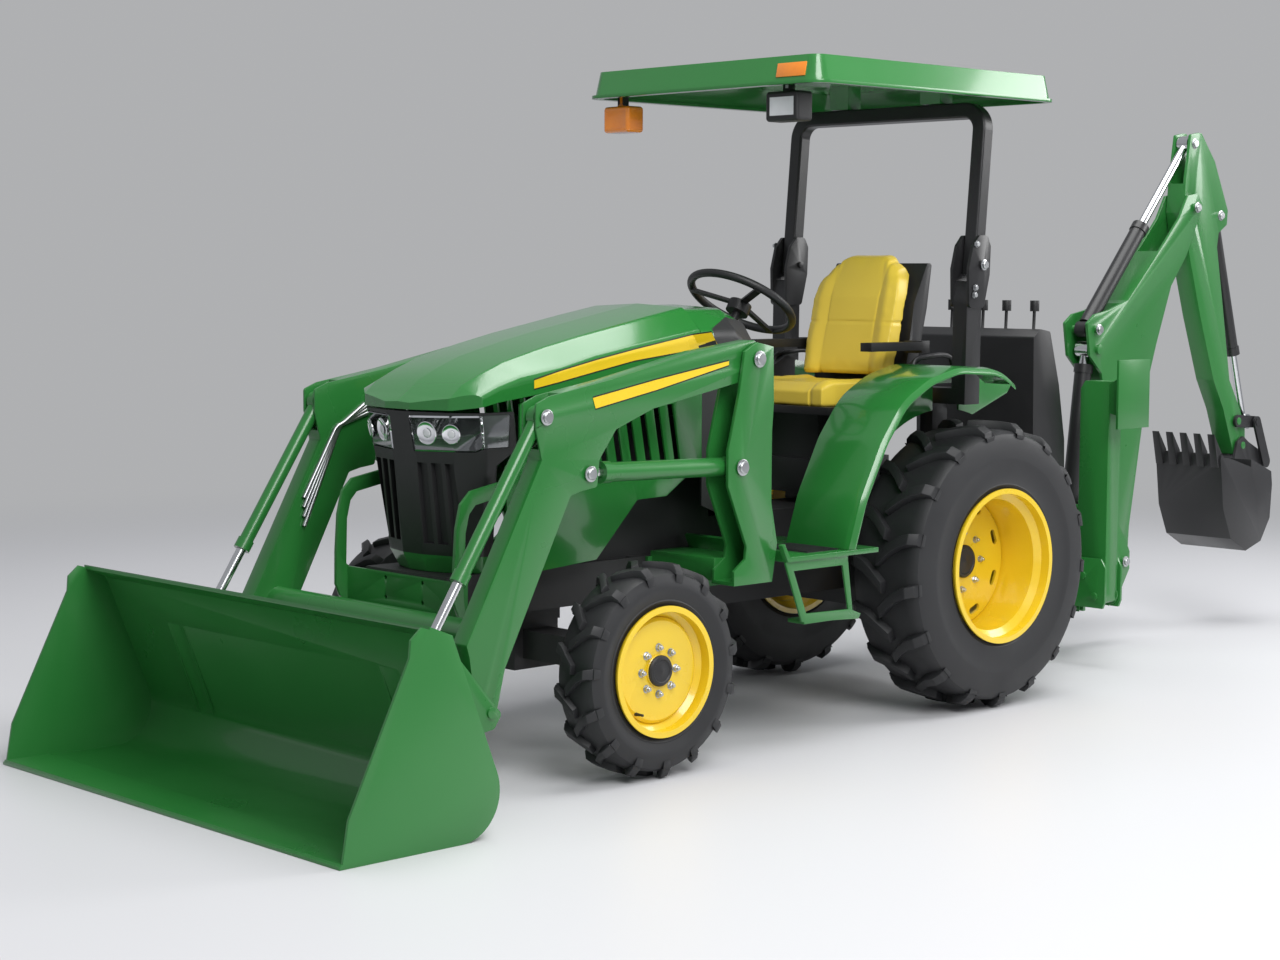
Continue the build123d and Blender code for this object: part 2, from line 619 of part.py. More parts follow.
for y0 in (arm_y - half + 4, arm_y + half - 4):
    loader_arm -= across(bucket_pin, y0 - 60, y0 + 60, loader_pin_radius + fit_gap)
loader_arm += across(tilt_base_pin, arm_y - half, arm_y + half + 8, loader_pin_radius)
torque_tube = across(torque_tube_at, -arm_y, arm_y, torque_tube_radius)
nodes["loader_arms"] = loader_arm + other_side(loader_arm) + torque_tube

pipes = []
for i in range(4):
    pipe_z = 1228 - i * 22
    pipe_y = arm_y - half - 7 - fit_gap
    pipes += tube_path([(1330, pipe_y, pipe_z - 10), (1800, pipe_y, pipe_z - 88),
                        (1990 + i * 4, pipe_y, 1010),
                        (2130, pipe_y, 700 + i * 30)], 7, 40).solids()
nodes["loader_pipes"] = other_side(Compound(pipes))

bucket_heel = (2404, 0)
bucket_top = (2625, 560)
bucket_roll = 130
bucket_sheet = bent_sheet([bucket_top, bucket_heel, (bucket_lip_x, 0)], bucket_wall, bucket_roll)
loader_bucket = extrude(side_plane(0) * bucket_sheet, bucket_half_width, both=True)
loader_bucket += side_plate([(2622, 552), bucket_top, (2700, 590), (2700, 578), (2638, 550), (2630, 545)], 0,
                            2 * bucket_half_width)
loader_bucket += side_plate([(bucket_lip_x - 150, 0), (bucket_lip_x, 0), (bucket_lip_x - 6, 14),
                             (bucket_lip_x - 150, 14)], 0, 2 * bucket_half_width)
cheek_roll = FilletPolyline((bucket_lip_x - 8, 0), bucket_heel, bucket_top, radius=bucket_roll)
cheek_front = Polyline(bucket_top, (2724, 590), (2760, 560), (2764, 515), (2960, 123), (bucket_lip_x - 8, 0))
cheek = side_plane(0) * make_face([*cheek_roll.edges(), *cheek_front.edges()])
for side in (-1, 1):
    loader_bucket += extrude(Pos(0, side * (bucket_half_width - bucket_wall / 2), 0) * cheek,
                             bucket_wall / 2,
                             both=True)
    for plate_y in (inner_plate_y, outer_plate_y):
        loader_bucket += side_plate([(2222, 262), (2250, 222), (2300, 215), (2470, 124), (2630, 556),
                                     (2480, 515), (2420, 485)], side * plate_y, plate_wall, 14)
    loader_bucket += across(bucket_pin, side * (inner_plate_y - 6), side * (outer_plate_y + 14),
                            loader_pin_radius)
    for y0, y1 in ((inner_plate_y - 14, inner_plate_y), (outer_plate_y, outer_plate_y + 14)):
        loader_bucket += across(tilt_eye_pin, side * y0, side * y1, loader_pin_radius + 4)
nodes["loader_bucket"] = loader_bucket

eye_width = arm_width - 16 - 2 * 5
lift_barrel, lift_rod = hydraulic(lift_base_pin, lift_eye_pin, 29, 17, eye_width, loader_pin_radius, 545,
                                  0)
tilt_barrel, tilt_rod = hydraulic(tilt_base_pin, tilt_eye_pin, 22, 15, eye_width - 6, loader_pin_radius,
                                  540, 112)
for name, solid in (("lift_barrels", lift_barrel), ("lift_rods", lift_rod),
                    ("tilt_barrels", tilt_barrel), ("tilt_rods", tilt_rod)):
    nodes[name] = pair(Pos(0, arm_y, 0) * solid)

# ---------------------------------------------------------------- backhoe frame and stabilisers
stab_front_x = stab_x + stab_width / 2 + side_gap + plate_wall / 2
stab_rear_x = stab_x - stab_width / 2 - side_gap - plate_wall / 2
backhoe_frame = block(stab_rear_x - 6, stab_front_x + 6, -230, 230, 235, 425)
for side in (-1, 1):
    for x in (stab_front_x, stab_rear_x):
        lug_plate = [(side * 200, 235), (side * 380, 235), (side * 390, 260), (side * 390, 390),
                     (side * 370, 425), (side * 200, 425)]
        backhoe_frame += cross_plate(lug_plate, x, plate_wall)
    for at in (stab_pin, stab_base_pin):
        backhoe_frame += lengthwise((side * at[0], at[1]), stab_rear_x - 14, stab_front_x + 14, 14)
    backhoe_frame += side_plate([(-940, 250), (-940, 420), (-300, 500), (-190, 500), (-190, 335),
                                 (-300, 335)],
                                side * 215, 16)
backhoe_frame += block(-206, -190, -215, 215, 335, 500)
backhoe_frame -= lengthwise((0, 420), -210, -186, 60)
for z0 in (200, 480):
    tongue = outline([(-1000, -220), (-1000, 220), (swing_axis_x, 58), (swing_axis_x, -58)])
    tongue += Pos(swing_axis_x, 0) * Circle(58)
    backhoe_frame += extrude(Plane.XY.offset(z0) * tongue, 22)
backhoe_frame += block(stab_rear_x - 10, stab_rear_x + 6, -220, 220, 200, 502)
backhoe_frame += block(stab_rear_x - 138, stab_rear_x, -8, 8, 222, 480)
for z0, z1 in ((180, 240), (462, 520)):
    backhoe_frame += extrude(Plane.XY.offset(z0) * (Pos(swing_axis_x, 0) * Circle(24)), z1 - z0)
nodes["backhoe_frame"] = backhoe_frame

leg_in = stab_pin[0] - 95
leg_out = stab_pin[0] + 35
wall = 8
channel = [(leg_out, stab_pin[1] - 20), (leg_out, stab_top_z), (leg_in + 20, stab_top_z),
           (leg_in, stab_top_z - 30), (leg_in, stab_pin[1] + 172), (stab_pin[0] - 20, stab_pin[1] + 66),
           (stab_pin[0] - 40, stab_pin[1] + 20), (stab_pin[0] - 40, stab_pin[1] - 20), (stab_pin[0],
                                                                                        stab_pin[1] - 45)]
leg = cross_plate(channel, stab_x, stab_width)
leg -= cross_plate([(leg_out - wall, 150), (leg_out - wall, stab_top_z - 20), (leg_in - 20, stab_top_z - 20),
                    (leg_in - 20, 150)], stab_x, stab_width - 2 * wall)
for x in (stab_x - stab_width / 2 + 4, stab_x + stab_width / 2 - 4):
    leg += lengthwise(stab_pin, x - 4, x + 4, 40)
leg -= lengthwise(stab_pin, stab_x - 100, stab_x + 100, 14 + fit_gap)
leg += block(stab_x - 100, stab_x + 100, 455, 465, 926, 1184)
for x in (stab_x - 30, stab_x + 30):
    leg += cross_plate([(leg_out - 20, 980), (leg_out - 20, 1090), (leg_out, 1090), (456, 1140), (456, 960),
                        (leg_out, 980)], x, 8)
nodes["stabiliser_left"] = leg
nodes["stabiliser_right"] = other_side(leg)

stab_barrel, stab_rod = hydraulic(stab_base_pin, stab_eye_pin, 24, 14, 44, 14, 440, 0)
turn_to_cross = Rot(0, 0, 90)
for name, solid in (("stab_barrel", stab_barrel), ("stab_rod", stab_rod)):
    left_piece = Pos(stab_x, 0, 0) * (turn_to_cross * solid)
    nodes[f"{name}_left"] = left_piece
    nodes[f"{name}_right"] = other_side(left_piece)

control_console = side_plate([(-612, 560), (-600, 1270), (-640, 1300), (-700, 1290), (-760, 1090),
                              (-800, 880), (-810, 560)], 0, 560, 12)
control_console += block(-800, -620, -207 + fit_gap, 207 - fit_gap, 400, 560)
for lever_y in (-150, 0, 110, 240):
    lever_top = (-655, 1392)
    control_console += Pos(0, lever_y, 0) * bar_between((-650, 1270), lever_top, 6)
    control_console += Pos(-655, lever_y, 1385) * Cylinder(17, 40)
nodes["control_console"] = control_console

# ---------------------------------------------------------------- swing post, boom, dipper, digger
cheek_y = boom_width / 2 + side_gap + plate_wall / 2
swing_post = extrude(Plane.XY.offset(227) * (Pos(swing_axis_x, 0) * Circle(62)), 248)
for z0, z1 in ((227, 245), (457, 475)):
    swing_post += extrude(Plane.XY.offset(z0) * outline([(swing_axis_x + 40, -70), (swing_axis_x + 40, 70),
                                                         (swing_axis_x - 120, 77), (swing_axis_x - 120,
                                                                                    -77)]),
                          z1 - z0)
for side in (-1, 1):
    swing_post += side_plate([(-1240, 230), (-1240, 472), (-1354, 472), (-1354, 512), (-1195, 545),
                              (-1190, 610), (-1270, 618), (-1400, 560), (-1500, 440), (-1535, 380),
                              (-1535, 310), (-1460, 200), (-1392, 229)], side * cheek_y, plate_wall, 8)
for z0, z1 in ((226, 246), (456, 476)):
    swing_post -= extrude(Plane.XY.offset(z0) * (Pos(swing_axis_x, 0) * Circle(24 + fit_gap)), z1 - z0)
swing_post += across(boom_foot_pin, -cheek_y - 16, cheek_y + 16, digger_pin_radius + 4)
swing_post += across(boom_base_pin, -cheek_y - 14, cheek_y + 14, digger_pin_radius)
nodes["swing_post"] = swing_post

boom_outline = [(-1455, 300), (-1430, 420), (-1400, 700), (-1370, 1000), (-1340, 1110), (-1260, 1180),
                (-1238, 1310),
                (-1290, 1345), (-1376, 1360), (-1511, 1400), (-1758, 1632), (-1861, 1735), (-1920, 1830),
                (-1990, 1840), (-2030, 1790), (-1916, 1581), (-1812, 1458), (-1715, 1221), (-1662, 1075),
                (-1600, 750), (-1550, 480), (-1540, 310), (-1500, 290)]
boom = side_plate(boom_outline, 0, boom_width, 10)
boom -= across(boom_foot_pin, -100, 100, digger_pin_radius + 4 + fit_gap)
boom -= side_plate([(-1150, 1020), (-1376, 1020), (-1400, 1240), (-1490, 1430), (-1150, 1430)], 0,
                   boom_width - 2 * boom_ear)
boom -= side_plate([(-2129, 1466), (-1654, 1622), (-1654, 2000), (-2200, 2000)], 0,
                   boom_width - 2 * boom_ear)
boom += across(boom_tip_pin, -boom_width / 2 - 14, boom_width / 2 + 14, digger_pin_radius + 2)
boom += across(boom_ear_pin, -boom_width / 2 - 14, boom_width / 2 + 14, digger_pin_radius)
for side in (-1, 1):
    boom += across(boom_eye_pin, side * (boom_width / 2 - boom_ear), side * (boom_width / 2 + 14),
                   digger_pin_radius + 4)
nodes["boom"] = boom

dipper_width = boom_width - 2 * boom_ear - 2 * side_gap
link_y = dipper_width / 2 + side_gap + 6
outer_link_y = link_y + 6 + side_gap + 5
dipper_outline = [(-2012, 2092), (-1955, 2082), (-1925, 1900), (-1915, 1760), (-1945, 1640), (-2055, 1333),
                  (-2168, 1060), (-2250, 931), (-2336, 735), (-2383, 722), (-2425, 750), (-2420, 850),
                  (-2358, 957), (-2291, 1056), (-2214, 1422), (-2170, 1620), (-2180, 1680), (-2240, 1715),
                  (-2245, 1775), (-2138, 1977), (-2034, 2090)]
dipper = side_plate(dipper_outline, 0, dipper_width, 8)
dipper -= across(boom_tip_pin, -100, 100, digger_pin_radius + 2 + fit_gap)
for slot in ([(-2150, 1880), (-1880, 1880), (-1880, 2150), (-2150, 2150)],
             [(-2300, 1640), (-2150, 1640), (-2150, 1840), (-2300, 1840)]):
    dipper -= side_plate(slot, 0, dipper_width - 2 * dipper_ear)
dipper += across(digger_base_pin, -dipper_width / 2, dipper_width / 2, digger_pin_radius)
for at in (rocker_pin, digger_pin):
    dipper += across(at, -link_y - 8, link_y + 8, digger_pin_radius)
nodes["dipper"] = dipper

bucket_side = [(-2013, 835), (-2066, 761), (-2055, 734), (-2084, 523), (-2147, 392), (-2264, 333),
               (-2380, 367), (-2447, 462), (-2459, 605), (-2450, 663), (-2300, 720), (-2080, 739)]
digger_bucket = side_plate(bucket_side, 0, digger_width)
digger_bucket -= side_plate([(-2290, 800), (-2075, 800), (-2066, 734), (-2094, 526), (-2154, 400),
                             (-2264, 343), (-2374, 375), (-2437, 464), (-2449, 605), (-2440, 650),
                             (-2290, 690)], 0, digger_width - 20)
digger_bucket -= side_plate([(-2290, 690), (-2290, 900), (-2000, 900), (-2066, 750)], 0, digger_width + 2)
for i in range(5):
    tooth_y = (i - 2) * 68
    digger_bucket += side_plate([(-2058, 700), (-2072, 760), (-2013, 840), (-2046, 700)], tooth_y, 34)
for side in (-1, 1):
    digger_bucket += side_plate([(-2420, 640), (-2300, 660), (-2340, 790), (-2383, 812), (-2424, 786),
                                 (-2549, 730), (-2582, 695), (-2549, 662), (-2450, 610)], side * link_y,
                                12, 10)
    digger_bucket -= across(digger_pin, side * (link_y - 20), side * (link_y + 20),
                            digger_pin_radius + fit_gap)
nodes["digger_bucket"] = digger_bucket


def link(start, end, start_radius, end_radius, y, wall):
    """Flat bar with round ends."""
    body = across(start, y - wall / 2, y + wall / 2, start_radius)
    body += across(end, y - wall / 2, y + wall / 2, end_radius)
    length = hypot(end[0] - start[0], end[1] - start[1])
    side_x = -(end[1] - start[1]) / length
    side_z = (end[0] - start[0]) / length
    body += side_plate([(start[0] + side_x * start_radius, start[1] + side_z * start_radius),
                        (end[0] + side_x * end_radius, end[1] + side_z * end_radius),
                        (end[0] - side_x * end_radius, end[1] - side_z * end_radius),
                        (start[0] - side_x * start_radius, start[1] - side_z * start_radius)], y, wall)
    return body


rocker_link = link(rocker_pin, link_pin, 27, 25, link_y, 12)
rocker_link -= across(rocker_pin, 0, 100, digger_pin_radius + fit_gap)
rocker_link += across(link_pin, link_y - 9, outer_link_y + 8, digger_pin_radius)
nodes["rocker_link"] = pair(rocker_link)
tipping_link = link(link_pin, digger_eye_pin, 25, 27, outer_link_y, 10)
tipping_link -= across(link_pin, 0, 200, digger_pin_radius + fit_gap)
nodes["tipping_link"] = pair(tipping_link)

boom_barrel, boom_rod = hydraulic(boom_base_pin, boom_eye_pin, 34, 20, 60, digger_pin_radius, 575, 0)
dipper_barrel, dipper_rod = hydraulic(boom_ear_pin, dipper_ear_pin, 32, 18, 50, digger_pin_radius, 560,
                                      405)
digger_barrel, digger_rod = hydraulic(digger_base_pin, link_pin, 26, 15, 50, digger_pin_radius, 620, 160)
for name, solid in (("boom_barrel", boom_barrel), ("boom_rod", boom_rod),
                    ("dipper_barrel", dipper_barrel), ("dipper_rod", dipper_rod),
                    ("digger_barrel", digger_barrel), ("digger_rod", digger_rod)):
    nodes[name] = solid

# ---------------------------------------------------------------- roll-over frame and canopy
half_post = rops_section / 2
rops_posts = side_plate([(-55, post_low_z), (25, post_low_z), (20, 1420), (5, 1478), (-68, 1478),
                         (-60, 1400)],
                        rops_y, rops_section)
rops_posts += block(-55, 25, 262, rops_y, post_low_z, post_low_z + 55)
rops_posts += block(-55, 25, 262, 318, axle_top_z + 22, post_low_z + 55)
rops_posts += block(-90, 70, 250, 318, axle_top_z, axle_top_z + 22)
for plate_y in (rops_y - half_post - 6, rops_y + half_post + 6):
    rops_posts += side_plate([(-58, 1385), (22, 1385), (26, 1520), (4, 1600), (-30, 1636), (-72, 1636),
                              (-92, 1600),
                              (-88, 1500)], plate_y, 12, 16)
rops_posts += across(rops_fold_pin, rops_y - half_post - 22, rops_y + half_post + 22, rops_pin_radius)
nodes["rops_posts"] = pair(rops_posts)
hoop_path = FilletPolyline((-45, -rops_y, 1500), (-95, -rops_y, rops_top_z), (-95, rops_y, rops_top_z),
                           (-45, rops_y, 1500), radius=hoop_bend)
hoop_start = Plane(origin=hoop_path @ 0, z_dir=hoop_path % 0)
rops_hoop = sweep(hoop_start * RectangleRounded(54, 54, 8), path=hoop_path)
rops_hoop -= across(rops_fold_pin, -rops_y - 60, rops_y + 60, rops_pin_radius + fit_gap)
nodes["rops_hoop"] = rops_hoop

canopy_face = [(canopy_rear_x, -canopy_half_width), (canopy_front_x, -canopy_half_width),
               (canopy_front_x, canopy_half_width), (canopy_rear_x, canopy_half_width)]
canopy = extrude(Plane.XY.offset(canopy_low_z) * outline(canopy_face, 60), canopy_rise, taper=12)
canopy -= extrude(Plane.XY.offset(canopy_low_z - 1) * (Pos(0, 0) * outline(
    [(x * 0.98, y * 0.97) for x, y in canopy_face], 50)), canopy_rise - 12, taper=12)
canopy_lip = extrude(Plane.XY.offset(canopy_low_z) * outline([(x * 1.01, y * 1.02) for x, y in canopy_face],
                                                             68), 11)
canopy_lip -= extrude(Plane.XY.offset(canopy_low_z) * outline([(x * 0.97, y * 0.96) for x,
                                                               y in canopy_face], 48), 11)
canopy += canopy_lip
for side in (-1, 1):
    canopy += block(-130, -60, side * 170, side * 260, rops_top_z + 29.3, canopy_low_z + canopy_rise - 8)
nodes["canopy"] = canopy

# columns: y and z range of the housing, y of its bracket
canopy_lamp_table = [
    (278, 421, 1991, 2088, 350),
    (-500, -372, 1986, 2077, -436),
]
lamp_roof_z = canopy_low_z - 1 + canopy_rise - 12
canopy_lamps = []
for y0, y1, z0, z1, bracket_y in canopy_lamp_table:
    lamp = fillet(block(772, 850, y0, y1, z0, z1).edges(), 12)
    lamp += block(800, 826, bracket_y - 16, bracket_y + 16, z1 - 2, lamp_roof_z)
    canopy_lamps += lamp.solids()
nodes["canopy_lamps"] = Compound(canopy_lamps)

for name, solid in nodes.items():
    export_step(Pos(-middle_x, 0, 0) * solid, f"parts/{name}.step")
    print(name, len(solid.solids()), round(solid.volume / 1e6, 2))
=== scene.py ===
"""A compact tractor with a front loader, a rear backhoe, a folding roll-over frame and a canopy."""
import json
from math import cos, pi, radians, sin

import bpy
from mathutils import Matrix, Vector

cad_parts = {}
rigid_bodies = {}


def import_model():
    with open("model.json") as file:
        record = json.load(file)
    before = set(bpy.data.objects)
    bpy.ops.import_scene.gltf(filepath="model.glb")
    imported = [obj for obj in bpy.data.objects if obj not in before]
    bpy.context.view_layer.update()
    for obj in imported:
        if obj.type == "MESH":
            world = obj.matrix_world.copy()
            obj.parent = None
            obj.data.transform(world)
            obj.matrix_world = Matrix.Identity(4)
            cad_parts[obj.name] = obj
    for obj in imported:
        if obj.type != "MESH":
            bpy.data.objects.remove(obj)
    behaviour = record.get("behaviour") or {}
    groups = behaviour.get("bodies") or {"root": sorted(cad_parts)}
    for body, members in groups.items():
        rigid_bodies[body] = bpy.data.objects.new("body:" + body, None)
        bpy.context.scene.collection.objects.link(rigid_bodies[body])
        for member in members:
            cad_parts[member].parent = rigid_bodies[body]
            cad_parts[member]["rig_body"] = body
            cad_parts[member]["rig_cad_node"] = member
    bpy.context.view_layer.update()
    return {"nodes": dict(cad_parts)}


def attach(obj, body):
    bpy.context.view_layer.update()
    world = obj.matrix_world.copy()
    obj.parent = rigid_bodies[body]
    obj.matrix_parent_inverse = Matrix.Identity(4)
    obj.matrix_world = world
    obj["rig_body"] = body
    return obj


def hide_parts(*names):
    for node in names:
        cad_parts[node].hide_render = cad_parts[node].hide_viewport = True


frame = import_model()
cad_nodes = frame["nodes"]

# ---------------------------------------------------------------- studio
# A pale floor under a grey backdrop, both larger than the view, with three soft lamps.
# The camera stands off the front left corner at chest height.
camera_at = Vector((6.1935, 5.560, 1.498))
camera_yaw = radians(46.60)
camera_pitch = radians(5.05)
camera_roll = radians(0.22)
forward = Vector((-cos(camera_yaw) * cos(camera_pitch), -sin(camera_yaw) * cos(camera_pitch), -sin(camera_pitch)))
camera_data = bpy.data.cameras.new("camera")
camera_data.lens = 65.58
camera_data.sensor_width = 36
camera = bpy.data.objects.new("camera", camera_data)
camera.location = camera_at
camera.rotation_euler = (forward.to_track_quat("-Z", "Y").to_matrix() @ Matrix.Rotation(camera_roll, 3, "Z")).to_euler()
bpy.context.scene.collection.objects.link(camera)
bpy.context.scene.camera = camera
bpy.context.scene.view_settings.view_transform = "Standard"


def plain_material(name, colour, roughness):
    material = bpy.data.materials.new(name)
    material.use_nodes = True
    shader = material.node_tree.nodes["Principled BSDF"]
    shader.inputs["Base Color"].default_value = (*colour, 1)
    shader.inputs["Roughness"].default_value = roughness
    return material, shader


bpy.ops.mesh.primitive_plane_add(size=80, location=(0, 0, 0))
floor = bpy.context.object
floor.name = "studio_floor"
floor_material, floor_shader = plain_material("floor_paint", (0.62, 0.62, 0.635), 0.45)
floor.data.materials.append(floor_material)
floor_nodes = floor_material.node_tree.nodes
floor_links = floor_material.node_tree.links
where = floor_nodes.new("ShaderNodeTexCoord")
reach = floor_nodes.new("ShaderNodeVectorMath")
reach.operation = "LENGTH"
fade = floor_nodes.new("ShaderNodeMapRange")
fade.interpolation_type = "SMOOTHSTEP"
fade.inputs["From Min"].default_value = 4.6
fade.inputs["From Max"].default_value = 8.8
eye = floor_nodes.new("ShaderNodeLightPath")
share = floor_nodes.new("ShaderNodeMath")
share.operation = "MULTIPLY"
far_tone = floor_nodes.new("ShaderNodeEmission")
far_tone.inputs["Color"].default_value = (0.43, 0.435, 0.445, 1)
mixed = floor_nodes.new("ShaderNodeMixShader")
floor_links.new(where.outputs["Object"], reach.inputs[0])
floor_links.new(reach.outputs["Value"], fade.inputs["Value"])
floor_links.new(fade.outputs["Result"], share.inputs[0])
floor_links.new(eye.outputs["Is Camera Ray"], share.inputs[1])
floor_links.new(share.outputs["Value"], mixed.inputs[0])
floor_links.new(floor_shader.outputs[0], mixed.inputs[1])
floor_links.new(far_tone.outputs[0], mixed.inputs[2])
floor_links.new(mixed.outputs[0], floor_nodes["Material Output"].inputs[0])

world = bpy.data.worlds.new("studio_world")
bpy.context.scene.world = world
world.use_nodes = True
world_nodes = world.node_tree.nodes
world_links = world.node_tree.links
room = world_nodes["Background"]
room.inputs["Color"].default_value = (0.93, 0.95, 1.0, 1)
room.inputs["Strength"].default_value = 0.42
seen = world_nodes.new("ShaderNodeBackground")
seen.inputs["Color"].default_value = (0.43, 0.435, 0.445, 1)
chooser = world_nodes.new("ShaderNodeMixShader")
path = world_nodes.new("ShaderNodeLightPath")
world_links.new(path.outputs["Is Camera Ray"], chooser.inputs[0])
world_links.new(room.outputs[0], chooser.inputs[1])
world_links.new(seen.outputs[0], chooser.inputs[2])
world_links.new(chooser.outputs[0], world_nodes["World Output"].inputs[0])

# columns: name, place, what it faces, size, watts
for lamp_name, place, target, size, power in (
        ("key_lamp", (3.0, 5.5, 5.5), (0.2, 0, 0.8), 4.5, 420),
        ("top_lamp", (-0.5, 0.5, 6.5), (-0.2, 0, 0.5), 5.5, 330),
        ("rim_lamp", (-5.0, 3.0, 3.5), (-0.5, 0, 1.0), 3.0, 160)):
    lamp_data = bpy.data.lights.new(lamp_name, "AREA")
    lamp_data.shape = "DISK"
    lamp_data.size = size
    lamp_data.energy = power
    lamp = bpy.data.objects.new(lamp_name, lamp_data)
    lamp.location = place
    lamp.rotation_euler = (Vector(target) - Vector(place)).to_track_quat("-Z", "Y").to_euler()
    bpy.context.scene.collection.objects.link(lamp)
bpy.ops.object.select_all(action="DESELECT")


# ---------------------------------------------------------------- tyres
# Black rubber with deep bars, a little dusty in the grooves and matt where it has rolled.
# Cured in one piece, so the side walls keep a fine moulded grain.
def grain_group():
    """Fine bumps and a slow change of tone, for moulded and painted surfaces."""
    group = bpy.data.node_groups.new("surface_grain", "ShaderNodeTree")
    for socket_name, low in (("Fine scale", 400.0), ("Slow scale", 3.0), ("Height", 0.05)):
        socket = group.interface.new_socket(socket_name, in_out="INPUT", socket_type="NodeSocketFloat")
        socket.default_value = low
    group.interface.new_socket("Tone", in_out="OUTPUT", socket_type="NodeSocketFloat")
    group.interface.new_socket("Normal", in_out="OUTPUT", socket_type="NodeSocketVector")
    nodes, links = group.nodes, group.links
    source = nodes.new("NodeGroupInput")
    sink = nodes.new("NodeGroupOutput")
    where = nodes.new("ShaderNodeTexCoord")
    fine = nodes.new("ShaderNodeTexNoise")
    slow = nodes.new("ShaderNodeTexNoise")
    bump = nodes.new("ShaderNodeBump")
    bump.inputs["Distance"].default_value = 0.001
    for noise, socket_name in ((fine, "Fine scale"), (slow, "Slow scale")):
        links.new(where.outputs["Object"], noise.inputs["Vector"])
        links.new(source.outputs[socket_name], noise.inputs["Scale"])
    fine.inputs["Detail"].default_value = 3
    slow.inputs["Detail"].default_value = 5
    links.new(fine.outputs["Fac"], bump.inputs["Height"])
    links.new(source.outputs["Height"], bump.inputs["Strength"])
    links.new(slow.outputs["Fac"], sink.inputs["Tone"])
    links.new(bump.outputs["Normal"], sink.inputs["Normal"])
    return group


grain = grain_group()


def finish_material(name, dark, light, rough, fine=400, slow=3, height=0.05, metallic=0.0, coat=0.0):
    """Two close tones mixed by the slow noise, roughness between two values, and the fine bump."""
    material = bpy.data.materials.new(name)
    material.use_nodes = True
    nodes, links = material.node_tree.nodes, material.node_tree.links
    shader = nodes["Principled BSDF"]
    surface = nodes.new("ShaderNodeGroup")
    surface.node_tree = grain
    surface.inputs["Fine scale"].default_value = fine
    surface.inputs["Slow scale"].default_value = slow
    surface.inputs["Height"].default_value = height
    tones = nodes.new("ShaderNodeMix")
    tones.data_type = "RGBA"
    tones.inputs["A"].default_value = (*dark, 1)
    tones.inputs["B"].default_value = (*light, 1)
    spread = nodes.new("ShaderNodeMapRange")
    spread.inputs["From Min"].default_value = 0.3
    spread.inputs["From Max"].default_value = 0.7
    spread.inputs["To Min"].default_value = rough[0]
    spread.inputs["To Max"].default_value = rough[1]
    links.new(surface.outputs["Tone"], tones.inputs["Factor"])
    links.new(surface.outputs["Tone"], spread.inputs["Value"])
    links.new(tones.outputs["Result"], shader.inputs["Base Color"])
    links.new(spread.outputs["Result"], shader.inputs["Roughness"])
    links.new(surface.outputs["Normal"], shader.inputs["Normal"])
    shader.inputs["Metallic"].default_value = metallic
    if coat:
        shader.inputs["Coat Weight"].default_value = coat
        shader.inputs["Coat Roughness"].default_value = 0.08
    return material


def dress(material, *names):
    """The material in every slot of these CAD nodes."""
    for node_name in names:
        for slot in cad_nodes[node_name].material_slots:
            slot.material = material


rubber = finish_material("tyre_rubber", (0.010, 0.0105, 0.012), (0.019, 0.0195, 0.021), (0.48, 0.62), 700, 9, 0.12)


def select_only(*objects):
    bpy.ops.object.select_all(action="DESELECT")
    for item in objects:
        item.select_set(True)
    bpy.context.view_layer.objects.active = objects[0]


def turned(profile, sides, filled=True):
    """A form round Z: a circle drawn out along stations of (distance, radius)."""
    bpy.ops.object.select_all(action="DESELECT")
    bpy.ops.mesh.primitive_circle_add(vertices=sides, radius=profile[0][1], fill_type="NGON" if filled else "NOTHING")
    shape = bpy.context.object
    bpy.ops.object.mode_set(mode="EDIT")
    bpy.ops.mesh.select_all(action="SELECT")
    bpy.ops.transform.translate(value=(0, 0, profile[0][0]))
    for (z0, r0), (z1, r1) in zip(profile, profile[1:]):
        if filled:
            bpy.ops.mesh.extrude_region_move(TRANSFORM_OT_translate={"value": (0, 0, z1 - z0)})
        else:
            bpy.ops.mesh.extrude_edges_move(TRANSFORM_OT_translate={"value": (0, 0, z1 - z0)})
        bpy.ops.transform.resize(value=(r1 / r0, r1 / r0, 1), center_override=(0, 0, z1))
    bpy.ops.object.mode_set(mode="OBJECT")
    return shape


def lay(shape, place, facing=None, spin=0.0):
    """Moves a shape, first turning its Z to face a way where one is given, and puts both into the mesh."""
    turn = Matrix.Rotation(spin, 4, "Z")
    if facing is not None:
        turn = Vector(facing).to_track_quat("Z", "Y").to_matrix().to_4x4() @ turn
    shape.matrix_world = Matrix.Translation(place) @ turn
    select_only(shape)
    bpy.ops.object.transform_apply(location=True, rotation=True, scale=True)
    return shape


def copy_of(shape):
    select_only(shape)
    bpy.ops.object.duplicate(linked=False)
    return bpy.context.object


def joined(shapes):
    select_only(*shapes)
    if len(shapes) > 1:
        bpy.ops.object.join()
    return bpy.context.object


def settle(shape, name, body, material, angle=30.0, merge=0.00001):
    """Merges doubles, turns the faces outwards, smooths under an angle, names and mounts the piece."""
    select_only(shape)
    bpy.ops.object.mode_set(mode="EDIT")
    bpy.ops.mesh.select_all(action="SELECT")
    bpy.ops.mesh.remove_doubles(threshold=merge)
    bpy.ops.mesh.normals_make_consistent(inside=False)
    bpy.ops.object.mode_set(mode="OBJECT")
    bpy.ops.object.shade_smooth_by_angle(angle=radians(angle))
    shape.name = name
    shape.data.name = name
    shape.data.materials.clear()
    shape.data.materials.append(material)
    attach(shape, body)
    return shape


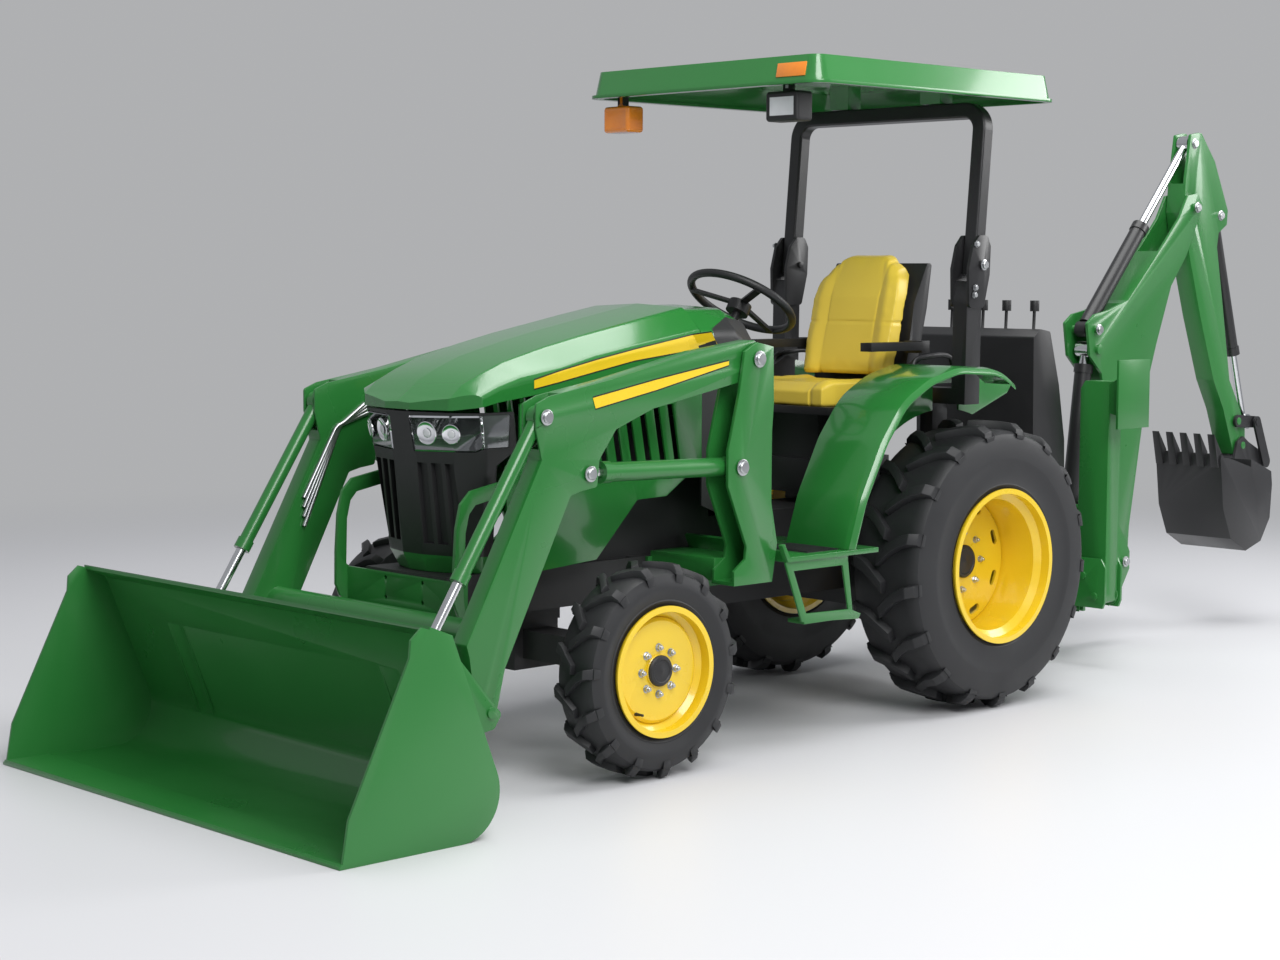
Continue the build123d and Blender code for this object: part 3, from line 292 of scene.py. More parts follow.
def tread_bar(width, radius, lug, half_bar, lean, inner):
    """One slanted bar: a block drawn out over the shoulder, then swung back round the axle station by station."""
    stations = [(-0.012, 0.0), (width * 0.10, 0.45), (width * 0.24, 0.8), (width * 0.37, 0.95), (width * 0.455, 1.0),
                (width * 0.485, 1.0)]
    tops = [radius - 0.0015, radius - 0.001, radius - 0.001, radius - 0.004, radius - 0.024, radius - 0.058]
    low = radius - lug - inner
    bpy.ops.object.select_all(action="DESELECT")
    bpy.ops.mesh.primitive_cube_add(size=1)
    bar = bpy.context.object
    bpy.ops.object.mode_set(mode="EDIT")
    bpy.ops.mesh.select_all(action="SELECT")
    bpy.ops.transform.resize(value=(2 * half_bar, 1, 1), center_override=(0, 0, 0))
    bpy.ops.object.mode_set(mode="OBJECT")
    first = stations[0][0]
    for vertex in bar.data.vertices:
        vertex.co.z = low if vertex.co.z < 0 else tops[0]
        vertex.co.y = first if vertex.co.y < 0 else stations[1][0]
    bpy.ops.object.mode_set(mode="EDIT")
    for i in range(1, len(stations) - 1):
        bpy.ops.mesh.select_all(action="DESELECT")
        bpy.ops.object.mode_set(mode="OBJECT")
        for face in bar.data.polygons:
            face.select = face.normal.y > 0.9 and abs(face.center.y - stations[i][0]) < 0.0005
        bpy.ops.object.mode_set(mode="EDIT")
        bpy.ops.mesh.select_mode(type="FACE")
        bpy.ops.mesh.extrude_region_move(TRANSFORM_OT_translate={"value": (0, stations[i + 1][0] - stations[i][0], 0)})
    bpy.ops.object.mode_set(mode="OBJECT")
    for vertex in bar.data.vertices:
        nearest = min(range(len(stations)), key=lambda k: abs(stations[k][0] - vertex.co.y))
        if vertex.co.z > low + 0.001:
            vertex.co.z = tops[nearest]
            vertex.co.x *= 0.86
        vertex.co = Matrix.Rotation(lean * stations[nearest][1], 3, "Y") @ vertex.co
    select_only(bar)
    bevel = bar.modifiers.new("edge", "BEVEL")
    bevel.width = 0.0025
    bevel.segments = 2
    bpy.ops.object.modifier_apply(modifier="edge")
    return bar


def lugged_tyre(name, place, width, radius, rim, lug, bars, half_bar, lean, sides):
    """A moulded carcass with bars from both shoulders, the two rows half a step apart."""
    half = width / 2
    tread = radius - lug
    outer = [(half - 0.020, rim - 0.006), (half - 0.016, rim + 0.004), (half - 0.010, rim + 0.014),
             (half - 0.012, rim + 0.018), (half - 0.004, (tread + rim) / 2 - 0.012), (half - 0.001, (tread + rim) / 2),
             (half - 0.001, (tread + rim) / 2 + 0.006), (half - 0.005, tread - 0.032), (half - 0.012, tread - 0.014),
             (half - 0.028, tread - 0.004), (half - 0.060, tread)]
    profile = [(-y, r) for y, r in outer] + [(0, tread + 0.002)] + outer[::-1]
    carcass = lay(turned(profile, sides, filled=False), (0, 0, 0), (0, 1, 0))
    rows = []
    for row in (1, -1):
        template = tread_bar(width, radius, lug, half_bar, lean, 0.012)
        if row < 0:
            template.scale = (1, -1, 1)
            select_only(template)
            bpy.ops.object.transform_apply(location=True, rotation=True, scale=True)
        for i in range(bars):
            item = copy_of(template)
            item.rotation_euler = (0, 2 * pi * (i + (0.5 if row < 0 else 0.0)) / bars, 0)
            select_only(item)
            bpy.ops.object.transform_apply(location=True, rotation=True, scale=True)
            rows.append(item)
        bpy.data.objects.remove(template)
    whole = joined([carcass] + rows)
    lay(whole, place)
    body = name.replace("tyre", "wheel")
    settle(whole, name + "_tread", body, rubber, 35)
    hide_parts(name)
    return whole


rear_axle_x = -0.2025
front_axle_x = 1.4475
# columns: end, x, z, y of the tyre's middle, width, radius, rim, lug, bars a row, half bar, lean, sides
tyre_table = [
    ("front", front_axle_x, 0.325, 0.5775, 0.168, 0.3235, 0.197, 0.020, 15, 0.016, radians(-11), 72),
    ("rear", rear_axle_x, 0.500, 0.4800, 0.302, 0.4985, 0.268, 0.030, 17, 0.022, radians(-10), 96)]
for end, x, z, y, width, radius, rim, lug, bars, half_bar, lean, sides in tyre_table:
    for side_name, side in (("left", 1), ("right", -1)):
        lugged_tyre(f"tyre_{end}_{side_name}", (x, side * y, z), width, radius, rim, lug, bars, half_bar, lean, sides)

# ---------------------------------------------------------------- wheel discs
# Pressed steel discs and rims in glossy yellow enamel, bolted to black hubs.
# The rims are rolled and welded, and sprayed before the tyres go on.
yellow_enamel = finish_material("yellow_enamel", (0.74, 0.50, 0.012), (0.82, 0.58, 0.020), (0.24, 0.34), 500, 4,
                                0.03, coat=0.5)
dress(yellow_enamel, "rim_front_left", "rim_front_right", "rim_rear_left", "rim_rear_right")

# ---------------------------------------------------------------- running gear
# Cast axles, gearbox, engine and side rails, all sprayed black and dull from the road.
# The castings keep the rough skin of the mould under their paint, and are bolted end to end.
cast_black = finish_material("cast_black_paint", (0.012, 0.012, 0.013), (0.028, 0.028, 0.029), (0.45, 0.65), 260, 6,
                             0.25)
dress(cast_black, "front_axle", "knuckle_left", "knuckle_right", "frame_rails", "engine_block", "transaxle")

# ---------------------------------------------------------------- green steelwork
# Welded loader, backhoe frame and stabilisers in green enamel, with the slight ripple of spray.
# They are cut from plate and box section, and pinned or bolted to the tractor.
green_enamel = finish_material("green_enamel", (0.016, 0.150, 0.026), (0.024, 0.180, 0.034), (0.26, 0.36), 300, 2.5,
                               0.04, coat=0.35)
dress(green_enamel, "loader_masts", "brush_guard", "loader_arms", "loader_bucket", "lift_barrels", "tilt_barrels",
      "backhoe_frame", "stabiliser_left", "stabiliser_right", "swing_post", "boom", "dipper", "platform")

# ---------------------------------------------------------------- green panels
# Moulded hood, side panels, fenders and canopy, smoother and glossier than the steel.
# Each is one thin shell under a clear coat, fixed to the frame beneath it.
green_panel = finish_material("green_panel", (0.018, 0.165, 0.028), (0.024, 0.190, 0.036), (0.18, 0.26), 900, 1.5,
                              0.015, coat=0.6)
dress(green_panel, "hood", "side_panels", "fenders", "canopy", "dash_cowl")

# ---------------------------------------------------------------- black plastic and painted steel
# Textured black mouldings, and satin black paint on the roll-over frame and the digging bucket.
# The mouldings are screwed on over steel, and the painted pieces are bent tube and welded plate.
black_plastic = finish_material("black_plastic", (0.010, 0.010, 0.011), (0.018, 0.018, 0.019), (0.42, 0.55), 1100, 5,
                                0.15)
dress(black_plastic, "grille", "dash_panel", "steering_wheel", "fender_trim", "seat_frame", "control_console")
black_paint = finish_material("black_satin_paint", (0.012, 0.012, 0.013), (0.020, 0.020, 0.021), (0.30, 0.42), 500, 4,
                              0.05)
dress(black_paint, "rops_posts", "rops_hoop", "digger_bucket", "boom_barrel", "dipper_barrel", "digger_barrel",
      "stab_barrel_left", "stab_barrel_right", "rocker_link", "tipping_link")

# ---------------------------------------------------------------- rods and pipes
# Hard chrome rods, ground and polished, that slide out of the cylinders' barrels.
# The loader's pipes are steel, bent cold and bright with zinc.
chrome = finish_material("hard_chrome", (0.60, 0.61, 0.62), (0.72, 0.73, 0.74), (0.10, 0.20), 800, 8, 0.01,
                         metallic=1.0)
dress(chrome, "lift_rods", "tilt_rods", "boom_rod", "dipper_rod", "digger_rod", "stab_rod_left", "stab_rod_right")
zinc = finish_material("zinc_plate", (0.42, 0.43, 0.44), (0.58, 0.59, 0.60), (0.25, 0.40), 600, 12, 0.04, metallic=1.0)
dress(zinc, "loader_pipes")

# ---------------------------------------------------------------- lamps
# Clear lenses over bright bowls at the nose, and amber markers under the canopy.
# All of them are moulded plastic, sealed to their housings.
lamp_glass = finish_material("lamp_lens", (0.55, 0.56, 0.58), (0.70, 0.71, 0.73), (0.08, 0.14), 900, 20, 0.05, coat=1.0)
dress(lamp_glass, "headlamps")
amber = finish_material("amber_lens", (0.80, 0.20, 0.01), (0.92, 0.30, 0.02), (0.12, 0.20), 900, 20, 0.1, coat=1.0)
dress(amber, "canopy_lamps")

# ---------------------------------------------------------------- seat
# Yellow vinyl sewn in panels and drawn tight over foam.
# Its fine grain is pressed into the sheet, so it is the same all over.
vinyl = finish_material("yellow_vinyl", (0.78, 0.56, 0.05), (0.86, 0.64, 0.08), (0.34, 0.44), 1500, 4, 0.12)
dress(vinyl, "seat_cushion", "seat_back")


# ---------------------------------------------------------------- soft edges on the sheet metal
# Every pressed, cast or moulded piece has a small radius on its edges, which the plain solids leave sharp.
# A merged copy of each node stands for it, with its flat facets joined and a narrow bevel.
def merged_copy(node_name, flatten=False):
    """A free copy of a CAD node with its loose triangles joined, and where asked its flat facets too."""
    shape = copy_of(cad_nodes[node_name])
    shape.parent = None
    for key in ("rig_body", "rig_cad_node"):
        if key in shape:
            del shape[key]
    select_only(shape)
    if shape.data.has_custom_normals:
        bpy.ops.mesh.customdata_custom_splitnormals_clear()
    bpy.ops.object.mode_set(mode="EDIT")
    bpy.ops.mesh.select_all(action="SELECT")
    bpy.ops.mesh.remove_doubles(threshold=0.00002)
    if flatten:
        bpy.ops.mesh.dissolve_limited(angle_limit=radians(0.6))
        bpy.ops.mesh.normals_make_consistent(inside=False)
    bpy.ops.object.mode_set(mode="OBJECT")
    return shape


def softened(node_name, edge, angle):
    """A merged copy that stands for its node, with flat facets joined, a narrow bevel and smooth shading."""
    shape = merged_copy(node_name, flatten=True)
    if edge:
        bevel = shape.modifiers.new("edge", "BEVEL")
        bevel.width = edge
        bevel.segments = 2
        bevel.limit_method = "ANGLE"
        bevel.angle_limit = radians(40)
        bevel.use_clamp_overlap = True
        bpy.ops.object.modifier_apply(modifier="edge")
    bpy.ops.object.shade_smooth_by_angle(angle=radians(angle))
    shape.name = node_name + "_finish"
    shape.data.name = shape.name
    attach(shape, cad_nodes[node_name]["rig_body"])
    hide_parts(node_name)
    return shape


# columns: node, width of the edge, angle under which faces run smoothly together
soft_edges = [
    ("hood", 0.0, 32), ("side_panels", 0.0015, 32), ("fenders", 0.0015, 32), ("canopy", 0.004, 32),
    ("dash_cowl", 0.0, 32), ("dash_panel", 0.0, 32), ("loader_arms", 0.0020, 32), ("loader_bucket", 0.0015, 32),
    ("loader_masts", 0.0015, 32), ("brush_guard", 0.0012, 32), ("boom", 0.0015, 32), ("dipper", 0.0015, 32),
    ("digger_bucket", 0.0015, 32), ("swing_post", 0.0015, 32), ("backhoe_frame", 0.0015, 32),
    ("stabiliser_left", 0.0015, 32), ("stabiliser_right", 0.0015, 32), ("platform", 0.0015, 32),
    ("control_console", 0.0025, 32), ("rops_posts", 0.0015, 32), ("seat_frame", 0.0020, 32)]
finished = {}
for node_name, edge, angle in soft_edges:
    finished[node_name] = softened(node_name, edge, angle)

# ---------------------------------------------------------------- wheel nuts, hub caps and valves
# Zinc nuts on studs hold each disc to its hub, and a rubber valve stands beside the rim.
# A moulded black cap is pressed into the middle of each hub.
# columns: end, x, z, y of the disc's face, nut circle, hub cap radius, valve circle
hub_table = [("front", front_axle_x, 0.325, 0.6235, 0.070, 0.047, 0.150),
             ("rear", rear_axle_x, 0.500, 0.4400, 0.100, 0.058, 0.215)]
for end, x, z, y, nut_ring, cap_radius, valve_ring in hub_table:
    for side_name, side in (("left", 1), ("right", -1)):
        body = f"wheel_{end}_{side_name}"
        nuts = []
        for i in range(8):
            spot = (x + nut_ring * cos(pi * i / 4), side * (y - 0.001), z + nut_ring * sin(pi * i / 4))
            washer = lay(turned([(0, 0.0125), (0.0022, 0.0125), (0.0022, 0.0100)], 24), spot, (0, side, 0))
            nut = lay(turned([(0.0022, 0.0100), (0.012, 0.0100), (0.0135, 0.0085)], 6), spot, (0, side, 0), 0.3 * i)
            stud = lay(turned([(0.012, 0.0055), (0.019, 0.0055), (0.020, 0.0045)], 16), spot, (0, side, 0))
            nuts += [washer, nut, stud]
        settle(joined(nuts), f"nuts_{end}_{side_name}", body, zinc)
        cap = lay(turned([(0, cap_radius), (0.012, cap_radius), (0.017, cap_radius - 0.004),
                          (0.019, cap_radius - 0.012), (0.016, cap_radius - 0.015), (0.017, 0.010),
                          (0.020, 0.004)], 48),
                  (x, side * (y - 0.001), z), (0, side, 0))
        settle(cap, f"hub_cap_{end}_{side_name}", body, black_plastic)
        valve = lay(turned([(0, 0.006), (0.010, 0.0045), (0.024, 0.0035), (0.024, 0.0042), (0.031, 0.0042),
                            (0.032, 0.0030)], 16),
                    (x + valve_ring * 0.6, side * (y - 0.002), z - valve_ring * 0.8), (0, side, 0))
        settle(valve, f"valve_{end}_{side_name}", body, rubber)

# ---------------------------------------------------------------- pin caps
# Bright heads on the pivot pins, each a flanged washer with a hexagon socket in a domed head.
# Plain hexagon bolts hold the hinge plates of the roll-over frame.
def pin_cap(radius, place, side):
    flange = lay(turned([(0, radius * 1.35), (0.003, radius * 1.35), (0.0035, radius * 1.28)], 32), place, (0, side, 0))
    head = lay(turned([(0.003, radius), (0.010, radius), (0.0125, radius * 0.85), (0.0125, radius * 0.5)], 32), place,
               (0, side, 0))
    socket = lay(turned([(0.0128, radius * 0.5), (0.006, radius * 0.46)], 6), place, (0, side, 0))
    return [flange, head, socket]


# columns: piece, body, x, z, outer face y, radius
cap_table = [
    ("mast_pin_caps", "chassis", 0.9875, 1.238, 0.592, 0.019),
    ("lift_base_caps", "chassis", 1.0595, 0.907, 0.592, 0.019),
    ("lift_eye_caps", "loader_arms", 1.6735, 0.920, 0.575, 0.017),
    ("tilt_base_caps", "loader_arms", 1.8425, 1.091, 0.575, 0.017),
    ("fold_pin_caps", "chassis", -0.2475, 1.534, 0.482, 0.014)]
for piece_name, body, x, z, y, radius in cap_table:
    heads = []
    for side in (1, -1):
        heads += pin_cap(radius, (x, side * (y - 0.002), z), side)
    settle(joined(heads), piece_name, body, zinc)
bolt_heads = []
for side in (1, -1):
    for x, z in ((-0.2105, 1.605), (-0.2055, 1.455), (-0.2015, 1.430)):
        bolt = turned([(0, 0.012), (0.003, 0.012), (0.003, 0.0095), (0.010, 0.0095), (0.0115, 0.008)], 6)
        bolt_heads.append(lay(bolt, (x, side * 0.4745, z), (0, side, 0)))
settle(joined(bolt_heads), "hinge_plate_bolts", "chassis", zinc)

# ---------------------------------------------------------------- blank stripes
# A plain tapering yellow band, edged in black, along each loader arm and each side of the hood.
# They are cut from thin film and stuck down, so they follow the skin.
def band(name, body, material, top, bottom, y, skin, lift, thick=0.0005):
    """A strip between two lines of (x, z), laid on the skin from outside."""
    columns = len(top) - 1
    bpy.ops.object.select_all(action="DESELECT")
    bpy.ops.mesh.primitive_grid_add(x_subdivisions=columns, y_subdivisions=1, size=1)
    strip = bpy.context.object
    for vertex in strip.data.vertices:
        i = round((vertex.co.x + 0.5) * columns)
        x, z = (top if vertex.co.y > 0 else bottom)[i]
        vertex.co = (x + rear_axle_x, y, z)
    select_only(strip)
    bpy.ops.object.mode_set(mode="EDIT")
    bpy.ops.mesh.select_all(action="SELECT")
    bpy.ops.mesh.subdivide(number_cuts=5)
    bpy.ops.object.mode_set(mode="OBJECT")
    wrap = strip.modifiers.new("lay_on", "SHRINKWRAP")
    wrap.target = skin
    wrap.wrap_method = "PROJECT"
    wrap.use_project_y = True
    wrap.use_positive_direction = y < 0
    wrap.use_negative_direction = y > 0
    wrap.project_limit = 0.06
    wrap.offset = lift
    bpy.ops.object.modifier_apply(modifier="lay_on")
    solid = strip.modifiers.new("film", "SOLIDIFY")
    solid.thickness = thick
    solid.offset = 0
    bpy.ops.object.modifier_apply(modifier="film")
    return settle(strip, name, body, material)


arm_top = [(1.864, 1.140), (1.606, 1.186), (1.303, 1.234)]
arm_bottom = [(1.853, 1.109), (1.606, 1.156), (1.303, 1.222)]
hood_top = [(1.850, 1.181), (1.753, 1.204), (1.600, 1.236), (1.444, 1.264), (1.140, 1.314)]
hood_bottom = [(1.850, 1.156), (1.753, 1.173), (1.600, 1.202), (1.444, 1.231), (1.109, 1.269)]
for side_name, side in (("left", 1), ("right", -1)):
    for kind, body, skin, top, bottom, out in (
            ("arm", "loader_arms", "loader_arms", arm_top, arm_bottom, 0.600),
            ("hood", "hood", "hood", hood_top, hood_bottom, 0.330)):
        band(f"{kind}_stripe_{side_name}", body, yellow_enamel, top, bottom, side * out, finished[skin], 0.0009)
        edge_top = [(px, pz + 0.004) for px, pz in top]
        edge_bottom = [(px, pz - 0.004) for px, pz in bottom]
        band(f"{kind}_stripe_edge_{side_name}", body, black_paint, edge_top, edge_bottom, side * out, finished[skin],
             0.0004, 0.0003)

# ---------------------------------------------------------------- padded seat
# Vinyl over foam: a cushion and a tall back, blown out by the foam and drawn in along the sewn channels.
# The cushion rolls down at its front edge, and the back narrows to rounded shoulders.
def ramp(value, low, high):
    """0 below low, 1 above high, and smooth between."""
    share = max(0.0, min(1.0, (value - low) / (high - low)))
    return share * share * (3 - 2 * share)


def shape_back(point):
    point.x += 0.014 * ramp(abs(point.y), 0.110, 0.165)
    point.y *= 1 - 0.30 * ramp(point.z, 1.40, 1.64) - 0.06 * ramp(1.30 - point.z, 0.02, 0.16)
    point.z -= 0.050 * ramp(abs(point.y), 0.075, 0.170) * ramp(point.z, 1.46, 1.58)


def shape_cushion(point):
    point.z += 0.010 * ramp(abs(point.y), 0.120, 0.175) * ramp(point.z, 1.070, 1.100)
    point.z -= 0.022 * ramp(point.x, 0.205, 0.275) * ramp(point.z, 1.060, 1.100)
    point.y *= 1 - 0.10 * ramp(point.x, 0.200, 0.275)


def padded_piece(node_name, shrink, pressure, cap, channels, form):
    piece = merged_copy(node_name)
    centre = sum((vertex.co for vertex in piece.data.vertices), Vector()) / len(piece.data.vertices)
    for vertex in piece.data.vertices:
        vertex.co = centre + (vertex.co - centre) * shrink
    piece.data.remesh_voxel_size = 0.009
    bpy.ops.object.voxel_remesh()
    rest = [vertex.co.copy() for vertex in piece.data.vertices]
    cloth = piece.modifiers.new("foam", "CLOTH")
    cloth.settings.use_pressure = True
    cloth.settings.uniform_pressure_force = pressure
    cloth.settings.effector_weights.gravity = 0
    for moment in range(1, 21):
        bpy.context.scene.frame_set(moment)
    bpy.ops.object.modifier_apply(modifier="foam")
    bpy.context.scene.frame_set(1)
    for vertex, start in zip(piece.data.vertices, rest):
        shift = vertex.co - start
        if shift.length > cap:
            vertex.co = start + shift.normalized() * cap
    smooth = piece.modifiers.new("round", "SMOOTH")
    smooth.factor = 0.5
    smooth.iterations = 4
    bpy.ops.object.modifier_apply(modifier="round")
    finer = piece.modifiers.new("finer", "SUBSURF")
    finer.levels = 1
    finer.render_levels = 1
    bpy.ops.object.modifier_apply(modifier="finer")
    for vertex in piece.data.vertices:
        form(vertex.co)
        for axis, line, depth, width in channels:
            away = abs(vertex.co[axis] - line)
            if away < width:
                pull = depth * (cos(pi * away / width) + 1) / 2
                vertex.co -= (vertex.co - centre).normalized() * pull
    piece.name = node_name + "_pad"
    piece.data.name = piece.name
    piece.data.materials.clear()
    piece.data.materials.append(vinyl)
    select_only(piece)
    bpy.ops.object.shade_smooth()
    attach(piece, "chassis")
    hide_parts(node_name)
    return piece


padded_piece("seat_cushion", 0.955, 4.0, 0.010,
             [(1, -0.135, 0.006, 0.012), (1, 0.135, 0.006, 0.012), (0, 0.085, 0.004, 0.010)],
             shape_cushion)
padded_piece("seat_back", 0.955, 4.0, 0.010,
             [(1, -0.120, 0.006, 0.012), (1, 0.120, 0.006, 0.012), (2, 1.330, 0.004, 0.010)],
             shape_back)


# ---------------------------------------------------------------- grille and headlamps
# A black bowed grille over a green chin, with two lamps let into it.
# Each lamp is a dark cell behind a bright rim, with a main bowl and a smaller one beside it.
chin_top = 0.655
grille_piece = softened("grille", 0.0, 32)
grille_piece.data.materials.append(green_enamel)
for face in grille_piece.data.polygons:
    if face.center.z < chin_top:
        face.material_index = 1
bright = finish_material("lamp_bowl", (0.80, 0.81, 0.83), (0.92, 0.93, 0.95), (0.05, 0.12), 900, 20, 0.02, metallic=1.0)
lamp_cell = finish_material("lamp_cell", (0.10, 0.105, 0.11), (0.20, 0.21, 0.22), (0.10, 0.18), 900, 20, 0.02,
                            metallic=0.6, coat=1.0)
lamp_piece = softened("headlamps", 0.0010, 25)
lamp_piece.data.materials.clear()
for material in (lamp_cell, bright):
    lamp_piece.data.materials.append(material)
select_only(lamp_piece)
bpy.ops.object.mode_set(mode="EDIT")
bpy.ops.mesh.select_all(action="DESELECT")
bpy.ops.object.mode_set(mode="OBJECT")
for face in lamp_piece.data.polygons:
    face.select = face.normal.x > 0.45
bpy.ops.object.mode_set(mode="EDIT")
bpy.ops.mesh.select_mode(type="FACE")
bpy.ops.mesh.inset(thickness=0.006, depth=0.0, use_boundary=True)
bpy.ops.object.mode_set(mode="OBJECT")
for face in lamp_piece.data.polygons:
    face.material_index = 0 if face.select or face.normal.x < 0.45 else 1


def on_front(skin, y, z):
    """The first point of the skin met from ahead, and its outward direction."""
    _, place, normal, _ = skin.ray_cast(Vector((3.0, y, z)), Vector((-1, 0, 0)))
    return place, normal


bowls, glasses = [], []
for side in (1, -1):
    for y, radius in ((0.108, 0.036), (0.196, 0.030)):
        place, normal = on_front(lamp_piece, side * y, 1.025)
        place = place - normal * 0.0012
        bowls.append(lay(turned([(0, radius), (0.0035, radius), (0.0045, radius * 0.94), (0.0026, radius * 0.80),
                                 (0.0012, radius * 0.45), (0.0016, radius * 0.12)], 48), place, normal))
        glasses.append(lay(turned([(0.0030, radius * 0.40), (0.0044, radius * 0.36), (0.0052, radius * 0.20)], 32),
                           place, normal))
settle(joined(bowls), "headlamp_bowls", "chassis", bright, 40)
settle(joined(glasses), "headlamp_bulb_caps", "chassis", lamp_glass, 40)

# ---------------------------------------------------------------- canopy lamps
# Black housings under the front edge, with a clear lens on the left and an amber one on the right.
# Each lens sits a little back inside its moulded rim.
skirt_bottom = 2.085
canopy_lamp_piece = softened("canopy_lamps", 0.0025, 30)
canopy_lamp_piece.data.materials.clear()
for material in (black_plastic, lamp_glass, amber):
    canopy_lamp_piece.data.materials.append(material)
select_only(canopy_lamp_piece)
bpy.ops.object.mode_set(mode="EDIT")
bpy.ops.mesh.select_all(action="DESELECT")
bpy.ops.object.mode_set(mode="OBJECT")
front_x = max(vertex.co.x for vertex in canopy_lamp_piece.data.vertices)
for face in canopy_lamp_piece.data.polygons:
    face.select = face.normal.x > 0.95 and face.center.x > front_x - 0.03 and face.area > 0.002
bpy.ops.object.mode_set(mode="EDIT")
bpy.ops.mesh.select_mode(type="FACE")
bpy.ops.mesh.inset(thickness=0.007, depth=-0.003)
bpy.ops.object.mode_set(mode="OBJECT")
for face in canopy_lamp_piece.data.polygons:
    face.material_index = 0
    if face.select:
        face.material_index = 1 if face.center.y > 0 else 2
    elif face.center.y < 0 and face.center.z < skirt_bottom:
        face.material_index = 2

# ---------------------------------------------------------------- grab rails
# A bent black tube stands on each fender trim, beside the seat.
# Both of its ends go down into the trim.
def tube(points, radius):
    """A round tube through the points, smoothed, and made a mesh."""
    data = bpy.data.curves.new("tube", "CURVE")
    data.dimensions = "3D"
    data.bevel_depth = radius
    data.bevel_resolution = 5
    data.resolution_u = 8
    data.use_fill_caps = True
    line = data.splines.new("NURBS")
    line.points.add(len(points) - 1)
    for point, spot in zip(line.points, points):
        point.co = (*spot, 1)
    line.use_endpoint_u = True
    line.order_u = 3
    shape = bpy.data.objects.new("tube", data)
    bpy.context.scene.collection.objects.link(shape)
    select_only(shape)
    bpy.ops.object.convert(target="MESH")
    return bpy.context.object


rails = []
for side in (1, -1):
    rails.append(tube([(x + rear_axle_x, side * 0.330, z) for x, z in
                       ((0.160, 1.133), (0.152, 1.180), (0.140, 1.206), (0.100, 1.211), (0.050, 1.216), (-0.005, 1.220),
                        (-0.045, 1.214), (-0.062, 1.198), (-0.070, 1.150))], 0.009))
settle(joined(rails), "grab_rails", "chassis", black_plastic, 40)

# ---------------------------------------------------------------- platform mats
# Black rubber mats with raised ribs on both foot platforms.
# Each is moulded in one piece and laid flat on the steel.
mat_x, mat_y = 0.672, 0.470
mat_length, mat_width = 0.150, 0.210
mat_strips = 27
mats = []
for side in (1, -1):
    bpy.ops.object.select_all(action="DESELECT")
    bpy.ops.mesh.primitive_grid_add(x_subdivisions=mat_strips, y_subdivisions=1, size=1)
    mat = bpy.context.object
    for vertex in mat.data.vertices:
        vertex.co = (mat_x + vertex.co.x * mat_length, side * mat_y + vertex.co.y * mat_width, 0.0)
    select_only(mat)
    bpy.ops.object.mode_set(mode="EDIT")
    bpy.ops.mesh.select_all(action="SELECT")
    bpy.ops.mesh.extrude_region_move(TRANSFORM_OT_translate={"value": (0, 0, 0.002)})
    bpy.ops.mesh.select_all(action="DESELECT")
    bpy.ops.object.mode_set(mode="OBJECT")
    for face in mat.data.polygons:
        strip = int(((face.center.x - mat_x) / mat_length + 0.5) * mat_strips)
        face.select = abs(face.normal.z) > 0.9 and face.center.z > 0.001 and strip % 2 == 1
    bpy.ops.object.mode_set(mode="EDIT")
    bpy.ops.mesh.select_mode(type="FACE")
    bpy.ops.mesh.extrude_region_move(TRANSFORM_OT_translate={"value": (0, 0, 0.003)})
    bpy.ops.object.mode_set(mode="OBJECT")
    hit, place, _, _ = finished["platform"].ray_cast(Vector((mat_x, side * mat_y, 0.640)), Vector((0, 0, -1)))
    if hit:
        lay(mat, (0, 0, place.z - 0.0005))
        mats.append(mat)
    else:
        bpy.data.objects.remove(mat)
if mats:
    settle(joined(mats), "platform_mats", "chassis", rubber, 30)

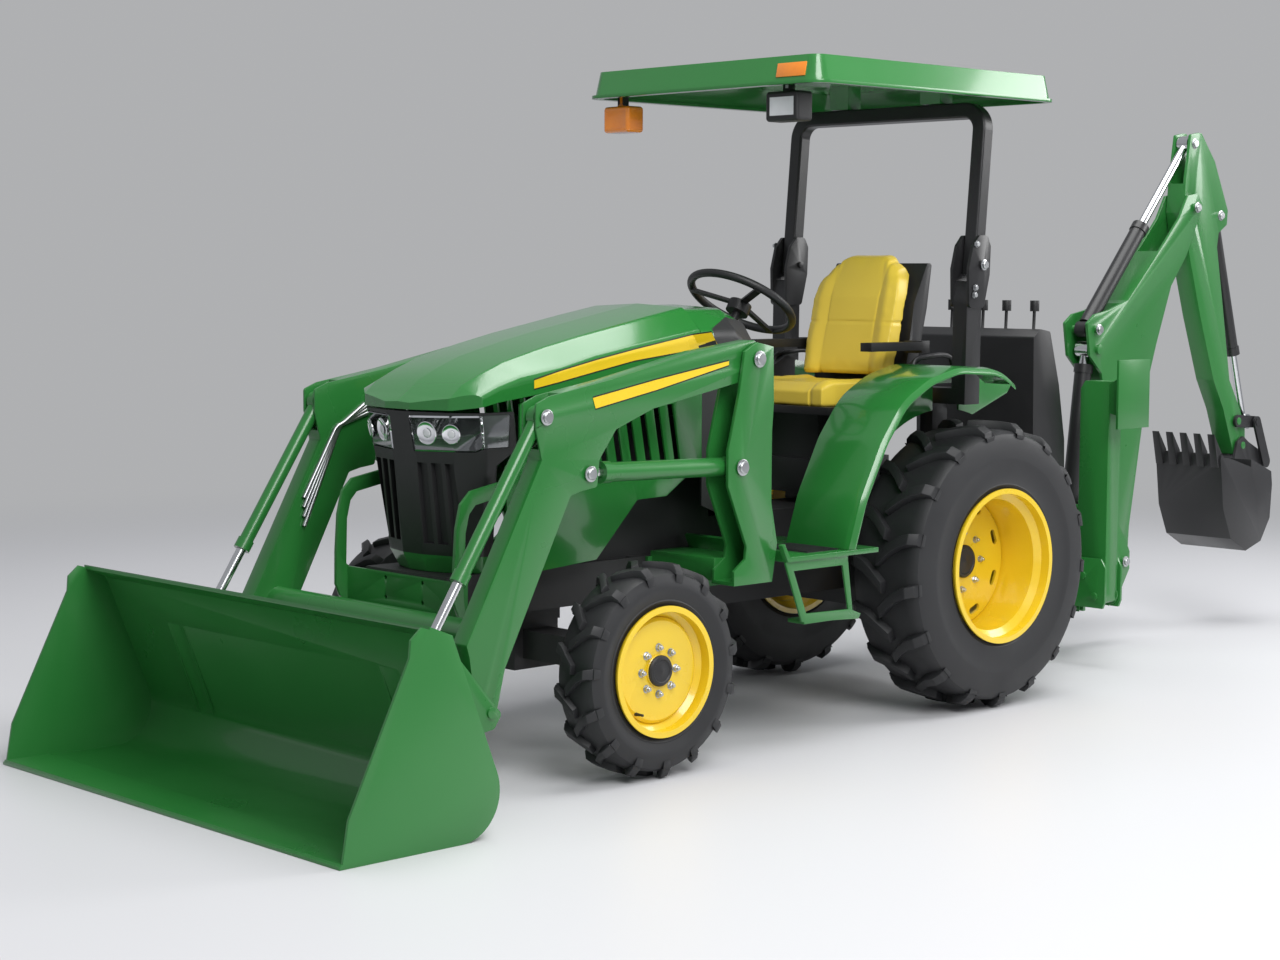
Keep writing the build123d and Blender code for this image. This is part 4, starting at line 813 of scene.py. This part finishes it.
# ---------------------------------------------------------------- pipe clamps
# Two black clamps hold the four bright pipes to the inside of the right arm.
# Each is a moulded block closed over the pipes.
clamps = []
for x, z, lean in ((1.300, 1.165, 0.17), (1.520, 1.127, 0.17)):
    bpy.ops.object.select_all(action="DESELECT")
    bpy.ops.mesh.primitive_cube_add(size=1)
    clamp = bpy.context.object
    clamp.scale = (0.026, 0.022, 0.100)
    clamp.rotation_euler = (0, lean, 0)
    clamp.location = (x, -0.494, z)
    select_only(clamp)
    bpy.ops.object.transform_apply(location=True, rotation=True, scale=True)
    edge = clamp.modifiers.new("edge", "BEVEL")
    edge.width = 0.003
    edge.segments = 2
    bpy.ops.object.modifier_apply(modifier="edge")
    clamps.append(clamp)
settle(joined(clamps), "pipe_clamps", "loader_arms", black_plastic)


# ---------------------------------------------------------------- backhoe pins and canopy reflector
# Bright heads on the backhoe's outer pins, found on the face that each pin comes out of.
# A blank amber reflector is stuck to the canopy's front edge.
pin_heads = {}
for owner, x, z in (("swing_post", -1.6975, 0.343), ("boom", -2.1725, 1.781), ("boom", -1.5005, 1.285),
                    ("dipper", -2.3945, 1.753), ("dipper", -2.1865, 2.046)):
    for side in (1, -1):
        hit, place, _, _ = finished[owner].ray_cast(Vector((x, side * 0.5, z)), Vector((0, -side, 0)))
        if hit and abs(place.y) > 0.03:
            pin_heads.setdefault(owner, []).extend(pin_cap(0.016, (x, place.y - side * 0.001, z), side))
for owner, heads in pin_heads.items():
    settle(joined(heads), f"{owner}_pin_caps", cad_nodes[owner]["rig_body"], zinc)
_, place, normal, _ = finished["canopy"].ray_cast(Vector((1.5, 0.42, 2.150)), Vector((-1, 0, 0)))
bpy.ops.object.select_all(action="DESELECT")
bpy.ops.mesh.primitive_cube_add(size=1)
reflector = bpy.context.object
reflector.scale = (0.126, 0.046, 0.004)
select_only(reflector)
bpy.ops.object.transform_apply(location=True, rotation=True, scale=True)
rim = reflector.modifiers.new("rim", "BEVEL")
rim.width = 0.0016
rim.segments = 2
bpy.ops.object.modifier_apply(modifier="rim")
lay(reflector, place + normal * 0.0012, normal)
settle(reflector, "canopy_reflector", "rops_upper", amber)
